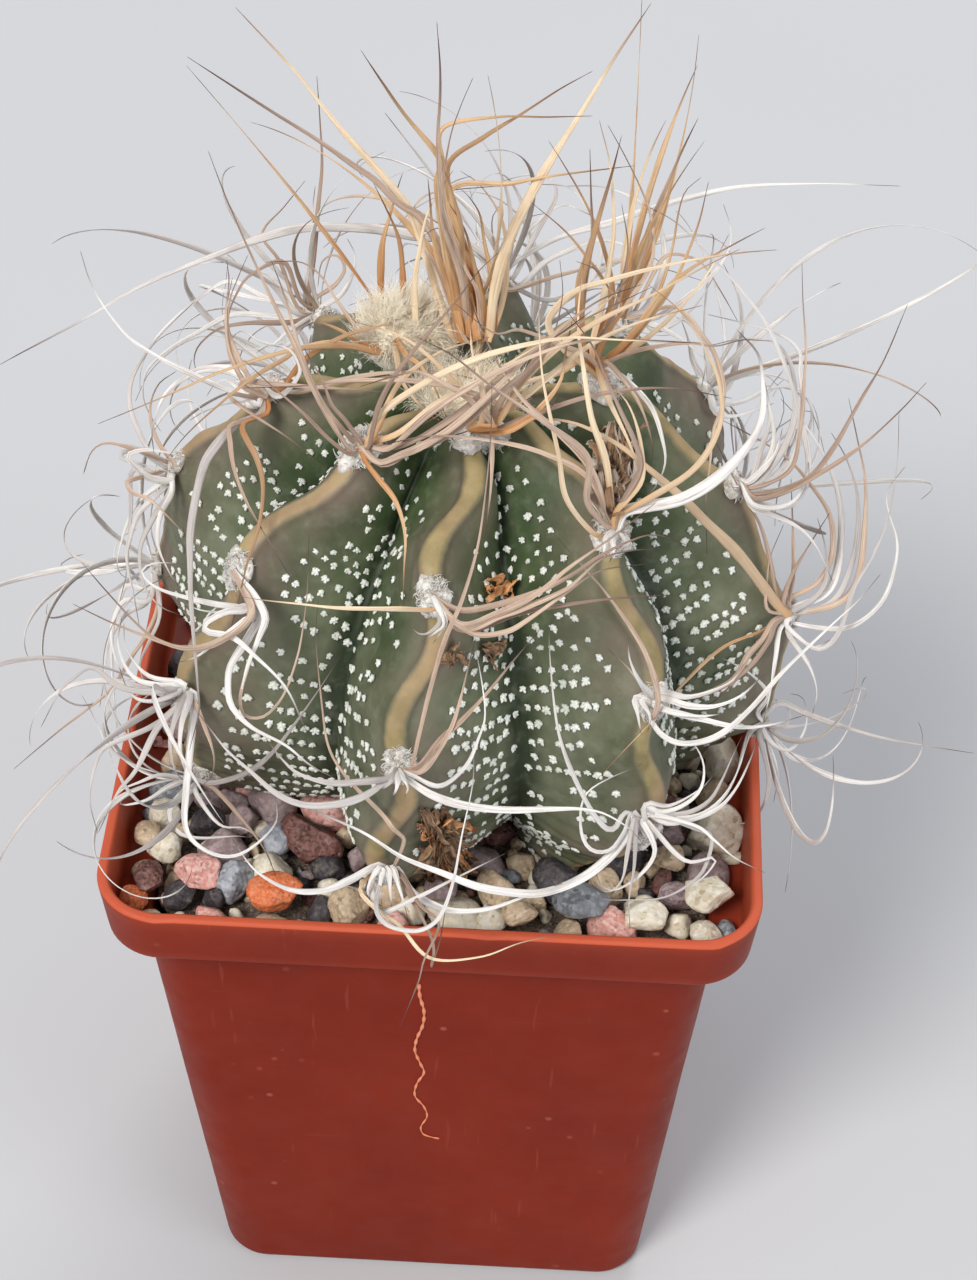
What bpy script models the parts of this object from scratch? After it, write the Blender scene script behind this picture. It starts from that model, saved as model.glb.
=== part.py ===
"""Goat's-horn cactus (eight ribs) in a square tapered nursery pot.

Frame: metres, +Z up, origin on the underside of the pot base at its centre.
The pot's front face looks towards -Y. Lengths below are millimetres, turned
into metres when a mesh is made. Heights marked "rim" count from the rim top.
"""
import math
import random

import bmesh
import bpy
import numpy as np
from mathutils import Vector

# ------------------------------------------------------------ driving sizes
MM = 0.001
GAP = 0.35                 # clearance between pieces that touch

POT_HEIGHT = 100.0
RIM_WIDTH = 90.0           # outside, at the rim top
RIM_RADIUS = 8.9           # vertical corner radius at the rim
COLLAR_HEIGHT = 9.8        # the wider band under the rim
COLLAR_FOOT_WIDTH = 88.4
BODY_TOP_WIDTH = 79.4      # outside, just under the collar
BASE_WIDTH = 67.4          # outside, at the foot
BASE_RADIUS = 7.4
FOOT_BEVEL = 1.6
WALL = 1.3
DRAIN_DIAMETER = 8.0
DRAIN_OFFSET = 17.0

BED_TOP = -7.2             # rim: mean top of the gravel dressing
BED_FOOT = -14.2
BED_STEPS = 64
SOIL_TOP = -14.6

PLANT_X, PLANT_Y = 3.0, -0.9
RIBS = 8
FIRST_RIB_ANGLE = -96.6    # degrees, rib 1 faces the front
RIB_DEPTH = 12.5
RIDGE_THICKNESS = 3.2
AREOLE_SPACING = 22.0      # along a ridge
RIDGE_SWAY = 1.5           # side to side, between two areoles
RIDGE_DRIFT_START, RIDGE_DRIFT_SLOPE = 4.3, 0.1
BASE_LEAN = 0.0055         # the foot of the stem sits further back
# first areole of each rib, as a distance from the crown centre
FIRST_AREOLE = (12, 30, 17, 26, 12, 17, 28, 19)
AREOLES_ON_RIB = (4, 3, 4, 3, 4, 4, 3, 4)
SWAY_SIGN = (1, -1, 1, -1, 1, -1, 1, 1)
# the ridge line of a rib as (radius, height over the rim)
RIDGE_PROFILE = ((0, 56.0), (5.5, 57.2), (12, 58.6), (24, 55.0), (33.5, 47.0),
                 (40.4, 36.0), (44.2, 24.0), (44.3, 13.0), (40.8, 3.0),
                 (35.0, -5.0), (27.0, -11.6), (19.5, -14.2))
TAPROOT = ((12.0, -17.0), (7.0, -22.0), (4.5, -30.0))
TAPROOT_TIP = -38.0
CUSHION = (2.7, 2.7, 1.5)  # felt cushion half sizes: across, along, out
SPINE_RADIUS = 0.5
SPINES_EACH = 5
SPINE_LENGTHS = (15.0, 27.0)

# feature spines: rib, areole, azimuth, elevation (degrees), length, curl
# (degrees turned towards azimuth + 90, and upward), along the spine
FEATURE_SPINES = (
    (5, 1, 100, 75, 46, -10, 0), (5, 1, 150, 60, 50, 10, 0),
    (5, 1, 60, 62, 52, 0, 0), (5, 1, 185, 62, 54, 0, -15),
    (5, 1, 30, 55, 44, -10, 0), (5, 1, 250, 70, 40, 0, 0),
    (5, 1, 120, 50, 46, 15, 10),
    (5, 2, 150, 40, 76, 45, -50), (5, 2, 35, 35, 66, -25, -25),
    (4, 1, 60, 45, 44, 10, 0), (4, 1, 25, 55, 34, 0, -10),
    (6, 1, 170, 60, 50, 0, -10), (6, 2, 150, 15, 42, 20, 0),
    (7, 1, 165, 45, 46, -20, 10), (7, 1, 185, 20, 34, 20, -20),
    (7, 2, 195, 10, 30, 0, -30), (3, 2, 10, 45, 40, 10, 10),
    (3, 3, 10, 25, 38, 20, 30), (3, 4, -15, 5, 40, 0, -10),
    (3, 4, -40, 10, 26, 10, -10),
    (8, 3, 200, 5, 34, 10, -15), (8, 4, 215, 10, 28, 10, 15),
    (1, 4, -70, 5, 30, 25, 0), (1, 4, -100, 0, 26, 10, -35),
    (2, 3, -30, 5, 28, 20, 20), (1, 2, -20, 30, 30, 15, 10),
)

# loose stones lying on the dressing: x, y, length, turn, colour
STONES = (
    ("pink_granite_stone", -32.2, -32.5, 7.2, 20, (0.62, 0.36, 0.33)),
    ("brick_stone", -20.9, -36.1, 8.0, -5, (0.62, 0.20, 0.09)),
    ("red_lava_stone", -38.7, -33.4, 5.4, 80, (0.25, 0.09, 0.07)),
    ("beige_quartz_stone", -39.8, -26.0, 5.2, 75, (0.66, 0.58, 0.46)),
    ("white_quartz_stone", 38.2, -32.4, 7.2, 35, (0.75, 0.70, 0.60)),
    ("cream_quartz_stone", 29.6, -36.2, 6.0, -30, (0.72, 0.66, 0.54)),
    ("grey_slate_stone", 20.6, -35.0, 7.8, 20, (0.10, 0.11, 0.12)),
    ("sand_quartz_stone", 12.4, -36.8, 5.6, 20, (0.60, 0.54, 0.45)),
    ("back_quartz_stone", -34.0, 33.0, 7.0, 25, (0.68, 0.62, 0.52)),
    ("back_lava_stone", 34.0, 34.0, 7.0, -40, (0.28, 0.12, 0.10)),
)

# ---------------------------------------------------------------- materials


def material(name, colour, roughness, metallic=0.0):
    m = bpy.data.materials.new(name)
    m.use_nodes = True
    shader = m.node_tree.nodes["Principled BSDF"]
    shader.inputs["Base Color"].default_value = (*colour, 1.0)
    shader.inputs["Roughness"].default_value = roughness
    shader.inputs["Metallic"].default_value = metallic
    m.diffuse_color = (*colour, 1.0)
    return m


def add_object(name, points, faces, colour, roughness, smooth=True):
    mesh = bpy.data.meshes.new(name)
    mesh.from_pydata([tuple(c * MM for c in p) for p in points], [], faces)
    bm = bmesh.new()
    bm.from_mesh(mesh)
    bmesh.ops.recalc_face_normals(bm, faces=bm.faces)
    bmesh.ops.triangulate(bm, faces=bm.faces)
    bm.to_mesh(mesh)
    bm.free()
    if smooth:
        mesh.shade_smooth()
        mesh.set_sharp_from_angle(angle=math.radians(40))
    mesh.materials.append(material(name + "_finish", colour, roughness))
    obj = bpy.data.objects.new(name, mesh)
    bpy.context.scene.collection.objects.link(obj)
    return obj


def loft(rings, close_start=True, close_end=True, wrap=False):
    """Faces through equal rings of points; ends closed by one face each."""
    n = len(rings[0])
    points = [p for ring in rings for p in ring]
    faces = []
    steps = len(rings) if wrap else len(rings) - 1
    for i in range(steps):
        a, b = i * n, ((i + 1) % len(rings)) * n
        for j in range(n):
            k = (j + 1) % n
            faces.append((a + j, a + k, b + k, b + j))
    if not wrap:
        if close_start:
            faces.append(tuple(reversed(range(n))))
        if close_end:
            faces.append(tuple(range((len(rings) - 1) * n, len(rings) * n)))
    return points, faces


# ------------------------------------------------------------------ the pot


def rounded_square(width, radius, z, steps=5):
    half, ring = width / 2, []
    for quarter, (sx, sy) in enumerate(((1, 1), (-1, 1), (-1, -1), (1, -1))):
        for i in range(steps + 1):
            a = math.radians(90 * quarter + 90 * i / steps)
            ring.append((sx * (half - radius) + radius * math.cos(a),
                         sy * (half - radius) + radius * math.sin(a), z))
    return ring


def pot_width(z):
    """Outside width of the tapered wall under the collar, z over the base."""
    t = z / (POT_HEIGHT - COLLAR_HEIGHT)
    return BASE_WIDTH + (BODY_TOP_WIDTH - BASE_WIDTH) * t


def pot_radius(z):
    t = z / (POT_HEIGHT - COLLAR_HEIGHT)
    top = RIM_RADIUS - (RIM_WIDTH - BODY_TOP_WIDTH) / 2 + 1.5
    return BASE_RADIUS + (top - BASE_RADIUS) * t


def build_pot():
    h, foot = POT_HEIGHT, POT_HEIGHT - COLLAR_HEIGHT
    shelf = foot + WALL
    inside = lambda w, r, z, t=WALL: rounded_square(w - 2 * t, max(r - t, 1.0), z)
    rings = [
        rounded_square(BASE_WIDTH - 2 * FOOT_BEVEL, BASE_RADIUS - FOOT_BEVEL, 0),
        rounded_square(BASE_WIDTH, BASE_RADIUS, FOOT_BEVEL),
        rounded_square(pot_width(foot), pot_radius(foot), foot),
        rounded_square(COLLAR_FOOT_WIDTH - 1.2, RIM_RADIUS - 1.4, foot),
        rounded_square(COLLAR_FOOT_WIDTH, RIM_RADIUS - 0.8, foot + 0.8),
        rounded_square(RIM_WIDTH, RIM_RADIUS, h - 0.6),
        rounded_square(RIM_WIDTH - 0.8, RIM_RADIUS - 0.4, h),
        rounded_square(RIM_WIDTH - 2 * WALL, RIM_RADIUS - WALL, h),
        rounded_square(RIM_WIDTH - 2 * WALL - 0.6, RIM_RADIUS - WALL - 0.3, h - 0.7),
        inside(COLLAR_FOOT_WIDTH - 0.4, RIM_RADIUS - 1.0, shelf),
        inside(pot_width(foot), pot_radius(foot), shelf),
        inside(pot_width(WALL + 1.5), pot_radius(0), WALL + 1.5),
        inside(pot_width(0) - 2.4, pot_radius(0) - 1.2, WALL),
    ]
    points, faces = loft(rings)
    pot = add_object("pot", points, faces, (0.72, 0.16, 0.08), 0.45)
    for i, (sx, sy) in enumerate(((1, 1), (-1, 1), (-1, -1), (1, -1))):
        bm = bmesh.new()
        bmesh.ops.create_cone(bm, cap_ends=True, segments=12,
                              radius1=DRAIN_DIAMETER / 2 * MM,
                              radius2=DRAIN_DIAMETER / 2 * MM, depth=8 * MM)
        mesh = bpy.data.meshes.new(f"drain_cutter_{i + 1}")
        bm.to_mesh(mesh)
        bm.free()
        cutter = bpy.data.objects.new(f"drain_cutter_{i + 1}", mesh)
        cutter.location = (sx * DRAIN_OFFSET * MM, sy * DRAIN_OFFSET * MM, 0)
        cutter.hide_render = True
        cutter.display_type = "WIRE"
        bpy.context.scene.collection.objects.link(cutter)
        cut = pot.modifiers.new(f"drain_{i + 1}", "BOOLEAN")
        cut.operation = "DIFFERENCE"
        cut.solver = "EXACT"
        cut.object = cutter
    return pot


# -------------------------------------------------------------- the stem


def spline(points, steps):
    """A smooth line through the points, with its length, as numpy arrays."""
    p = np.array([[float(c) for c in q] for q in points])
    ext = np.vstack([2 * p[0] - p[1], p, 2 * p[-1] - p[-2]])
    out = []
    for i in range(1, len(ext) - 2):
        a, b, c, d = ext[i - 1], ext[i], ext[i + 1], ext[i + 2]
        for k in range(steps):
            t = k / steps
            out.append(0.5 * (2 * b + (c - a) * t + (2 * a - 5 * b + 4 * c - d) * t * t
                              + (3 * b - a - 3 * c + d) * t ** 3))
    out.append(p[-1])
    out = np.array(out)
    s = np.concatenate([[0], np.cumsum(np.linalg.norm(np.diff(out, axis=0), axis=1))])
    return s, out


PROFILE_S, PROFILE = spline(RIDGE_PROFILE, 12)
PROFILE_LENGTH = float(PROFILE_S[-1])


def profile_at(u):
    r = float(np.interp(u, PROFILE_S, PROFILE[:, 0]))
    z = float(np.interp(u, PROFILE_S, PROFILE[:, 1]))
    r2 = float(np.interp(u + 0.8, PROFILE_S, PROFILE[:, 0]))
    z2 = float(np.interp(u + 0.8, PROFILE_S, PROFILE[:, 1]))
    r1 = float(np.interp(u - 0.8, PROFILE_S, PROFILE[:, 0]))
    z1 = float(np.interp(u - 0.8, PROFILE_S, PROFILE[:, 1]))
    dr, dz = r2 - r1, z2 - z1
    length = math.hypot(dr, dz) or 1.0
    return r, z, (-dz / length, dr / length)   # outward normal in (r, z)


def lean(z):
    return BASE_LEAN * max(0.0, 24.0 - z) ** 2 if z > -16 else BASE_LEAN * 1600


def ridge_offset(rib, u):
    """Sideways sway and outward bulge of a ridge line at a distance u."""
    phase = 2 * math.pi * (u - FIRST_AREOLE[rib]) / AREOLE_SPACING
    fade = min(1.0, u / 14.0) * min(1.0, max(0.0, (PROFILE_LENGTH - u) / 22.0))
    sway = RIDGE_SWAY * SWAY_SIGN[rib] * math.sin(phase) * fade
    drift = (RIDGE_DRIFT_START - RIDGE_DRIFT_SLOPE * u) * min(1.0, u / 14.0)
    bulge = 0.6 * math.cos(phase) * fade
    return sway + drift, bulge


def rib_angle(rib):
    return math.radians(FIRST_RIB_ANGLE + 360.0 / RIBS * rib)


def place(rib, radial, side, z):
    a = rib_angle(rib)
    return (PLANT_X + radial * math.cos(a) - side * math.sin(a),
            PLANT_Y + lean(z) + radial * math.sin(a) + side * math.cos(a),
            POT_HEIGHT + z)


def rib_depth(u):
    grow = min(1.0, u / 26.0)
    fade = min(1.0, max(0.0, (PROFILE_LENGTH - u) / 16.0))
    return 0.6 + (RIB_DEPTH - 0.6) * grow * (0.25 + 0.75 * fade)


def stem_ring(u):
    """The eight-rib outline at a distance u along the ridges."""
    r, z, (nr, nz) = profile_at(u)
    depth = min(rib_depth(u), 0.62 * r)
    ring = []
    half = math.pi / RIBS
    nzu = max(nz, 0.0)
    nru = nr if nz > 0 else 1.0
    gr, gz = r - depth * nru, z - depth * nzu
    gr = max(gr, 0.35 * r)
    w = RIDGE_THICKNESS / 2 * min(1.0, r / 16.0)
    for rib in range(RIBS):
        sway, bulge = ridge_offset(rib, u)
        sway = sway * min(1.0, r / 20.0)
        for k, (side, mix) in enumerate(((-1, 1.0), (-1, 0.62), (-1, 0.27), (-1, 0.0),
                                         (0, 0.0), (1, 0.0), (1, 0.27), (1, 0.62))):
            gx, gy = gr * math.cos(half), side * gr * math.sin(half)
            if side == 0:
                ring.append(place(rib, r + bulge * nru, sway, z + bulge * nzu))
                continue
            ex = r + (bulge - 0.9) * nru
            ez = z + (bulge - 0.9) * nzu
            ey = sway + side * w
            x = ex + (gx - ex) * mix
            y = ey + (gy - ey) * mix
            zz = ez + (gz - ez) * mix
            if side < 0 and mix == 1.0:
                nxt = ridge_offset((rib - 1) % RIBS, u)[0]
            ring.append(place(rib, x, y, zz))
    return ring


def build_stem():
    us = [3.2, 6.5, 10.0, 15.0] + [20.0 + 5.5 * i for i in range(13)]
    us = [u for u in us if u < PROFILE_LENGTH - 3.0] + [PROFILE_LENGTH]
    rings = [stem_ring(u) for u in us]
    n = len(rings[0])
    for r, z in TAPROOT:
        ring = []
        for j in range(n):
            a = rib_angle(0) + 2 * math.pi * (j - 4) / n
            ring.append((PLANT_X + r * math.cos(a), PLANT_Y + lean(-14.2) + r * math.sin(a),
                         POT_HEIGHT + z))
        rings.append(ring)
    points, faces = loft(rings, close_start=False, close_end=False)
    top, low = len(points), len(points) + 1
    points.append((PLANT_X, PLANT_Y, POT_HEIGHT + RIDGE_PROFILE[0][1]))
    points.append((PLANT_X, PLANT_Y + lean(-14.2), POT_HEIGHT + TAPROOT_TIP))
    last = (len(rings) - 1) * n
    for j in range(n):
        k = (j + 1) % n
        faces.append((top, k, j))
        faces.append((low, last + j, last + k))
    return add_object("cactus_stem", points, faces, (0.10, 0.15, 0.07), 0.6)


# ------------------------------------------------------ soil and dressing


def wall_inside(z, clearance):
    """Inner half width and corner radius of the pot at height z."""
    foot = POT_HEIGHT - COLLAR_HEIGHT
    if z > foot + WALL + 0.01:
        t = (z - foot) / COLLAR_HEIGHT
        width = COLLAR_FOOT_WIDTH + (RIM_WIDTH - COLLAR_FOOT_WIDTH) * t - 1.0
        radius = RIM_RADIUS - 1.0
    else:
        width, radius = pot_width(min(z, foot)), pot_radius(min(z, foot))
    return width / 2 - WALL - clearance, max(radius - WALL - clearance, 0.8)


def square_hit(cx, cy, angle, half, radius):
    """Where a ray from (cx, cy) meets a rounded square on the pot's axis."""
    dx, dy = math.cos(angle), math.sin(angle)
    lo, hi = 0.0, 3 * half
    for _ in range(40):
        mid = (lo + hi) / 2
        x, y = abs(cx + dx * mid), abs(cy + dy * mid)
        ox, oy = x - (half - radius), y - (half - radius)
        inside = (x <= half and y <= half
                  and not (ox > 0 and oy > 0 and math.hypot(ox, oy) > radius))
        lo, hi = (mid, hi) if inside else (lo, mid)
    return cx + dx * lo, cy + dy * lo


def outer_ring(z, clearance, count, cx, cy):
    half, radius = wall_inside(z, clearance)
    return [(*square_hit(cx, cy, rib_angle(0) + 2 * math.pi * (j - 4) / count, half, radius), z)
            for j in range(count)]


def build_soil():
    n = 48
    cx, cy = PLANT_X, PLANT_Y + lean(-14.2)
    top = POT_HEIGHT + SOIL_TOP

    def circle(r, z):
        return [(cx + r * math.cos(rib_angle(0) + 2 * math.pi * (j - 4) / n),
                 cy + r * math.sin(rib_angle(0) + 2 * math.pi * (j - 4) / n), z)
                for j in range(n)]
    low = WALL + GAP
    rings = [
        [(x * 0.94, y * 0.94, low) for x, y, _ in outer_ring(WALL + 2.2, GAP + 1.2, n, cx, cy)],
        outer_ring(WALL + 2.2, GAP + 0.25, n, cx, cy),
        outer_ring(top, GAP, n, cx, cy),
        circle(TAPROOT[0][0] + 9.5, top),
        circle(TAPROOT[0][0] + 0.7, POT_HEIGHT + TAPROOT[0][1] - 0.4),
        circle(TAPROOT[1][0] + 0.6, POT_HEIGHT + TAPROOT[1][1] - 0.3),
        circle(TAPROOT[2][0] + 0.5, POT_HEIGHT + TAPROOT[2][1] - 0.2),
        circle(0.6, POT_HEIGHT + TAPROOT_TIP - 0.8),
    ]
    points, faces = loft(rings)
    return add_object("potting_soil", points, faces, (0.07, 0.05, 0.035), 0.95)


def outline_radius(outline, cx, cy, angle):
    """How far a closed outline reaches from (cx, cy) at an angle."""
    dx, dy = math.cos(angle), math.sin(angle)
    best = 0.0
    for i, (x1, y1, _) in enumerate(outline):
        x2, y2, _ = outline[(i + 1) % len(outline)]
        ax, ay, bx, by = x1 - cx, y1 - cy, x2 - x1, y2 - y1
        det = bx * dy - by * dx
        if abs(det) < 1e-9:
            continue
        t = (ay * dx - ax * dy) / det
        if -0.001 <= t <= 1.001:
            best = max(best, (ax + bx * t) * dx + (ay + by * t) * dy)
    return best


def build_bed():
    rng = random.Random(11)
    level = float(np.interp(-(BED_TOP + 1.5), -PROFILE[60:, 1], PROFILE_S[60:]))
    cx, cy = PLANT_X, PLANT_Y + lean(-6.0)
    outlines = [stem_ring(level + (PROFILE_LENGTH - level) * i / 7) for i in range(8)]
    inner = []
    for j in range(BED_STEPS):
        a = rib_angle(0) + 2 * math.pi * j / BED_STEPS
        d = max(outline_radius(o, cx, cy, a) for o in outlines)
        inner.append((d, a))
    near = [max(inner[(j + k) % BED_STEPS][0] for k in (-1, 0, 1)) for j in range(BED_STEPS)]
    inner = [(d + 0.5, a) for d, (_, a) in zip(near, inner)]
    shelf = POT_HEIGHT - COLLAR_HEIGHT + WALL + GAP
    low, top = POT_HEIGHT + BED_FOOT, POT_HEIGHT + BED_TOP

    def square(z, clearance, height):
        half, radius = wall_inside(z, clearance)
        return [(*square_hit(cx, cy, a, half, radius), height) for _, a in inner]

    def hole(height):
        return [(cx + d * math.cos(a), cy + d * math.sin(a), height) for d, a in inner]

    def blend(t, height):
        out = square(top, GAP + 0.3, height)
        inn = hole(height)
        return [(i[0] + (o[0] - i[0]) * t, i[1] + (o[1] - i[1]) * t,
                 height + rng.uniform(-0.45, 0.45)) for i, o in zip(inn, out)]
    rings = [
        hole(low), square(low, GAP, low), square(shelf - GAP - 0.4, GAP, shelf),
        square(top, GAP + 0.4, shelf), square(top, GAP + 0.4, top - 0.3),
        blend(0.66, top), blend(0.33, top), hole(top - 0.4),
    ]
    points, faces = loft(rings, wrap=True)
    return add_object("gravel_dressing", points, faces, (0.42, 0.36, 0.30), 0.9, smooth=False)


def build_stones():
    for index, (name, x, y, length, turn, colour) in enumerate(STONES):
        rng = random.Random(100 + index)
        bm = bmesh.new()
        bmesh.ops.create_icosphere(bm, subdivisions=2, radius=1.0)
        a = math.radians(turn)
        points = []
        half = (length / 2, length * 0.38, length * 0.27)
        for v in bm.verts:
            k = 1.0 + rng.uniform(-0.10, 0.10)
            px, py, pz = (v.co[i] * half[i] * k for i in range(3))
            points.append((x + px * math.cos(a) - py * math.sin(a),
                           y + px * math.sin(a) + py * math.cos(a), pz))
        low = min(p[2] for p in points)
        base = POT_HEIGHT + BED_TOP + 0.45 + GAP
        points = [(p[0], p[1], p[2] - low + base) for p in points]
        faces = [tuple(v.index for v in f.verts) for f in bm.faces]
        bm.free()
        add_object(name, points, faces, colour, 0.7)


# ---------------------------------------------------------------- the spines

PLACED = []        # (points, radii) of every finished spine and cushion


def outside_stem(points, margin):
    """True where every point is clear of the turned envelope of the ribs."""
    for x, y, z in points:
        h = z - POT_HEIGHT
        if h > 62 or z < 3:
            if z < 3:
                return False
            continue
        r = math.hypot(x - PLANT_X, y - PLANT_Y - lean(h))
        if h > 36:
            top = float(np.interp(r, PROFILE[:90, 0], PROFILE[:90, 1]))
            limit_r = float(np.interp(-h, -PROFILE[24:, 1], PROFILE[24:, 0]))
            if r < limit_r + margin and h < top + margin:
                return False
        elif h > -15:
            limit_r = float(np.interp(-h, -PROFILE[24:, 1], PROFILE[24:, 0]))
            if r < limit_r + margin:
                return False
        inside_pot = max(abs(x), abs(y)) < RIM_WIDTH / 2 + 1.5
        if inside_pot and h < BED_TOP + 4.0 + margin:
            return False
        near_rim = abs(max(abs(x), abs(y)) - (RIM_WIDTH / 2 - 1)) < 3.0
        if near_rim and h < 1.2:
            return False
    return True


def clear_of_others(points, radius):
    p = np.asarray(points)
    for others, reach in PLACED:
        if (p.min(0) > others.max(0) + 4).any() or (p.max(0) < others.min(0) - 4).any():
            continue
        d = np.linalg.norm(p[:, None, :] - others[None, :, :], axis=2)
        if (d < reach[None, :] + radius + 0.45).any():
            return False
    return True


def spine_path(start, direction, length, curl, rise, steps):
    """Points along a spine that turns sideways (curl) and upward (rise)."""
    d = Vector(direction).normalized()
    p = Vector(start)
    path = [tuple(p)]
    for _ in range(steps):
        side = Vector((-d.y, d.x, 0.0))
        if side.length < 0.05:
            side = Vector((1.0, 0.0, 0.0))
        side.normalize()
        up = side.cross(d) * -1.0
        d = (d + side * math.tan(math.radians(curl / steps))
             + up * math.tan(math.radians(rise / steps))).normalized()
        p = p + d * (length / steps)
        path.append(tuple(p))
    return path


def densify(path, step=0.8):
    out = []
    for a, b in zip(path, path[1:]):
        a, b = np.array(a), np.array(b)
        n = max(1, int(np.linalg.norm(b - a) / step))
        for i in range(n):
            out.append(a + (b - a) * i / n)
    out.append(np.array(path[-1]))
    return np.array(out)


def cushion_frame(rib, number):
    """Centre of a felt cushion and its outward, side and along directions."""
    u = FIRST_AREOLE[rib] + AREOLE_SPACING * number
    r, z, (nr, nz) = profile_at(u)
    sway, bulge = ridge_offset(rib, u)
    sway *= min(1.0, r / 20.0)
    lift = CUSHION[2] + bulge + 0.75
    base = Vector(place(rib, r + lift * nr, sway, z + lift * nz))
    a = rib_angle(rib)
    normal = Vector((nr * math.cos(a), nr * math.sin(a), nz)).normalized()
    side = Vector((-math.sin(a), math.cos(a), 0.0))
    along = side.cross(normal).normalized()
    return base, normal, side, along, u


def cluster_mesh(base, normal, side, along, spines):
    """A felt cushion with each spine drawn out of one of its facets."""
    bm = bmesh.new()
    bmesh.ops.create_icosphere(bm, subdivisions=1, radius=1.0)
    points = []
    for v in bm.verts:
        q = base + side * (v.co.x * CUSHION[0]) + along * (v.co.y * CUSHION[1]) \
            + normal * (v.co.z * CUSHION[2])
        points.append(q)
    facets = [tuple(v.index for v in f.verts) for f in bm.faces]
    bm.free()
    used, faces = {}, []
    centres = [sum((points[i] for i in f), Vector()) / 3 for f in facets]
    for s, path in enumerate(spines):
        want = (Vector(path[1]) - base).normalized()
        best = max((i for i in range(len(facets)) if i not in used
                    and (centres[i] - base).dot(normal) > -0.1),
                   key=lambda i: (centres[i] - base).normalized().dot(want))
        used[best] = path
    for i, f in enumerate(facets):
        if i not in used:
            faces.append(f)
            continue
        path = [Vector(p) for p in used[i]]
        previous = list(f)
        spokes = [points[j] - centres[i] for j in f]
        count = len(path)
        for k in range(1, count):
            t = (path[min(k + 1, count - 1)] - path[k - 1]).normalized()
            if k == count - 1:
                tip = len(points)
                points.append(path[k])
                for a in range(3):
                    faces.append((previous[a], previous[(a + 1) % 3], tip))
                break
            spokes = [(q - t * q.dot(t)).normalized() for q in spokes]
            middle = spokes[0]
            about = t.cross(middle).normalized()
            turn = 1 if about.dot(spokes[1]) > 0 else -1
            fresh = [middle,
                     middle * -0.5 + about * (0.866 * turn),
                     middle * -0.5 - about * (0.866 * turn)]
            radius = SPINE_RADIUS * (1.0 - 0.55 * k / count)
            ring = []
            for q in fresh:
                ring.append(len(points))
                points.append(path[k] + q * radius)
            for a in range(3):
                b = (a + 1) % 3
                faces.append((previous[a], previous[b], ring[b], ring[a]))
            previous, spokes = ring, fresh
    return [tuple(p) for p in points], faces


def build_spines():
    frames = {}
    for rib in range(RIBS):
        for number in range(AREOLES_ON_RIB[rib]):
            frames[rib, number] = cushion_frame(rib, number)
    for base, *_ in frames.values():
        PLACED.append((np.array([tuple(base)]), np.array([2.7])))
    order = sorted(frames, key=lambda k: (k[1], k[0]))
    grown = {key: [] for key in order}

    def attempt(key, make, tries):
        base, normal, side, along, u = frames[key]
        own = order.index(key)
        for i in range(tries):
            path = make(i)
            dense = densify(path)
            far = dense[np.linalg.norm(dense - np.array(base), axis=1) > 4.6]
            if not len(far) or not outside_stem(far[::2], 1.3):
                continue
            if not clear_of_others(far, SPINE_RADIUS):
                continue
            PLACED.append((far, np.full(len(far), SPINE_RADIUS)))
            grown[key].append(path)
            return True
        return False

    for rib, number, azimuth, elevation, length, curl, rise in FEATURE_SPINES:
        key = (rib - 1, number - 1)
        base, normal, side, along, u = frames[key]
        rng = random.Random(rib * 97 + number * 13 + azimuth + length)

        def make(i):
            spread = min(14.0, 1.2 * i)
            a = math.radians(azimuth + rng.uniform(-spread, spread))
            e = math.radians(elevation + rng.uniform(-spread, spread))
            d = Vector((math.cos(e) * math.cos(a), math.cos(e) * math.sin(a), math.sin(e)))
            start = base + d * 1.2 + normal * 0.5
            return spine_path(start, d, length, curl, rise, 7)
        attempt(key, make, 60)

    for key in order:
        base, normal, side, along, u = frames[key]
        rng = random.Random(key[0] * 31 + key[1] * 7 + 5)
        wanted = SPINES_EACH
        k = 0
        while len(grown[key]) < wanted and k < wanted + 3:
            turn = 360.0 * k / SPINES_EACH + 40.0 * key[1] + 15.0 * key[0]
            k += 1

            def make(i):
                a = math.radians(turn + rng.uniform(-30, 30))
                tilt = math.radians(rng.uniform(28, 66))
                d = normal * math.cos(tilt) \
                    + (side * math.cos(a) + along * math.sin(a)) * math.sin(tilt)
                length = rng.uniform(*SPINE_LENGTHS) * (1.0 - 0.006 * i)
                start = base + d * 1.2 + normal * 0.5
                return spine_path(start, d, length, rng.uniform(-60, 60),
                                  rng.uniform(-35, 60), 5)
            attempt(key, make, 90)

    for key in order:
        base, normal, side, along, u = frames[key]
        young = key[1] == 0
        colour = (0.62, 0.40, 0.20) if young else (0.78, 0.74, 0.68)
        points, faces = cluster_mesh(base, normal, side, along, grown[key])
        add_object(f"spine_cluster_rib{key[0] + 1}_{key[1] + 1}", points, faces, colour, 0.55)


# ------------------------------------------------- wool and dried flowers


def build_wool():
    n = 12
    rng = random.Random(3)
    z0 = POT_HEIGHT

    def ring(r, z, wobble=0.25):
        return [(PLANT_X + (r + rng.uniform(-wobble, wobble)) * math.cos(2 * math.pi * j / n),
                 PLANT_Y + (r + rng.uniform(-wobble, wobble)) * math.sin(2 * math.pi * j / n),
                 z0 + z) for j in range(n)]
    rings = [ring(2.5, 57.3, 0), ring(6.2, 58.6, 0), ring(6.9, 59.6), ring(5.6, 61.6),
             ring(3.0, 62.8)]
    points, faces = loft(rings)
    add_object("crown_wool", points, faces, (0.80, 0.70, 0.52), 0.95)


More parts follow.
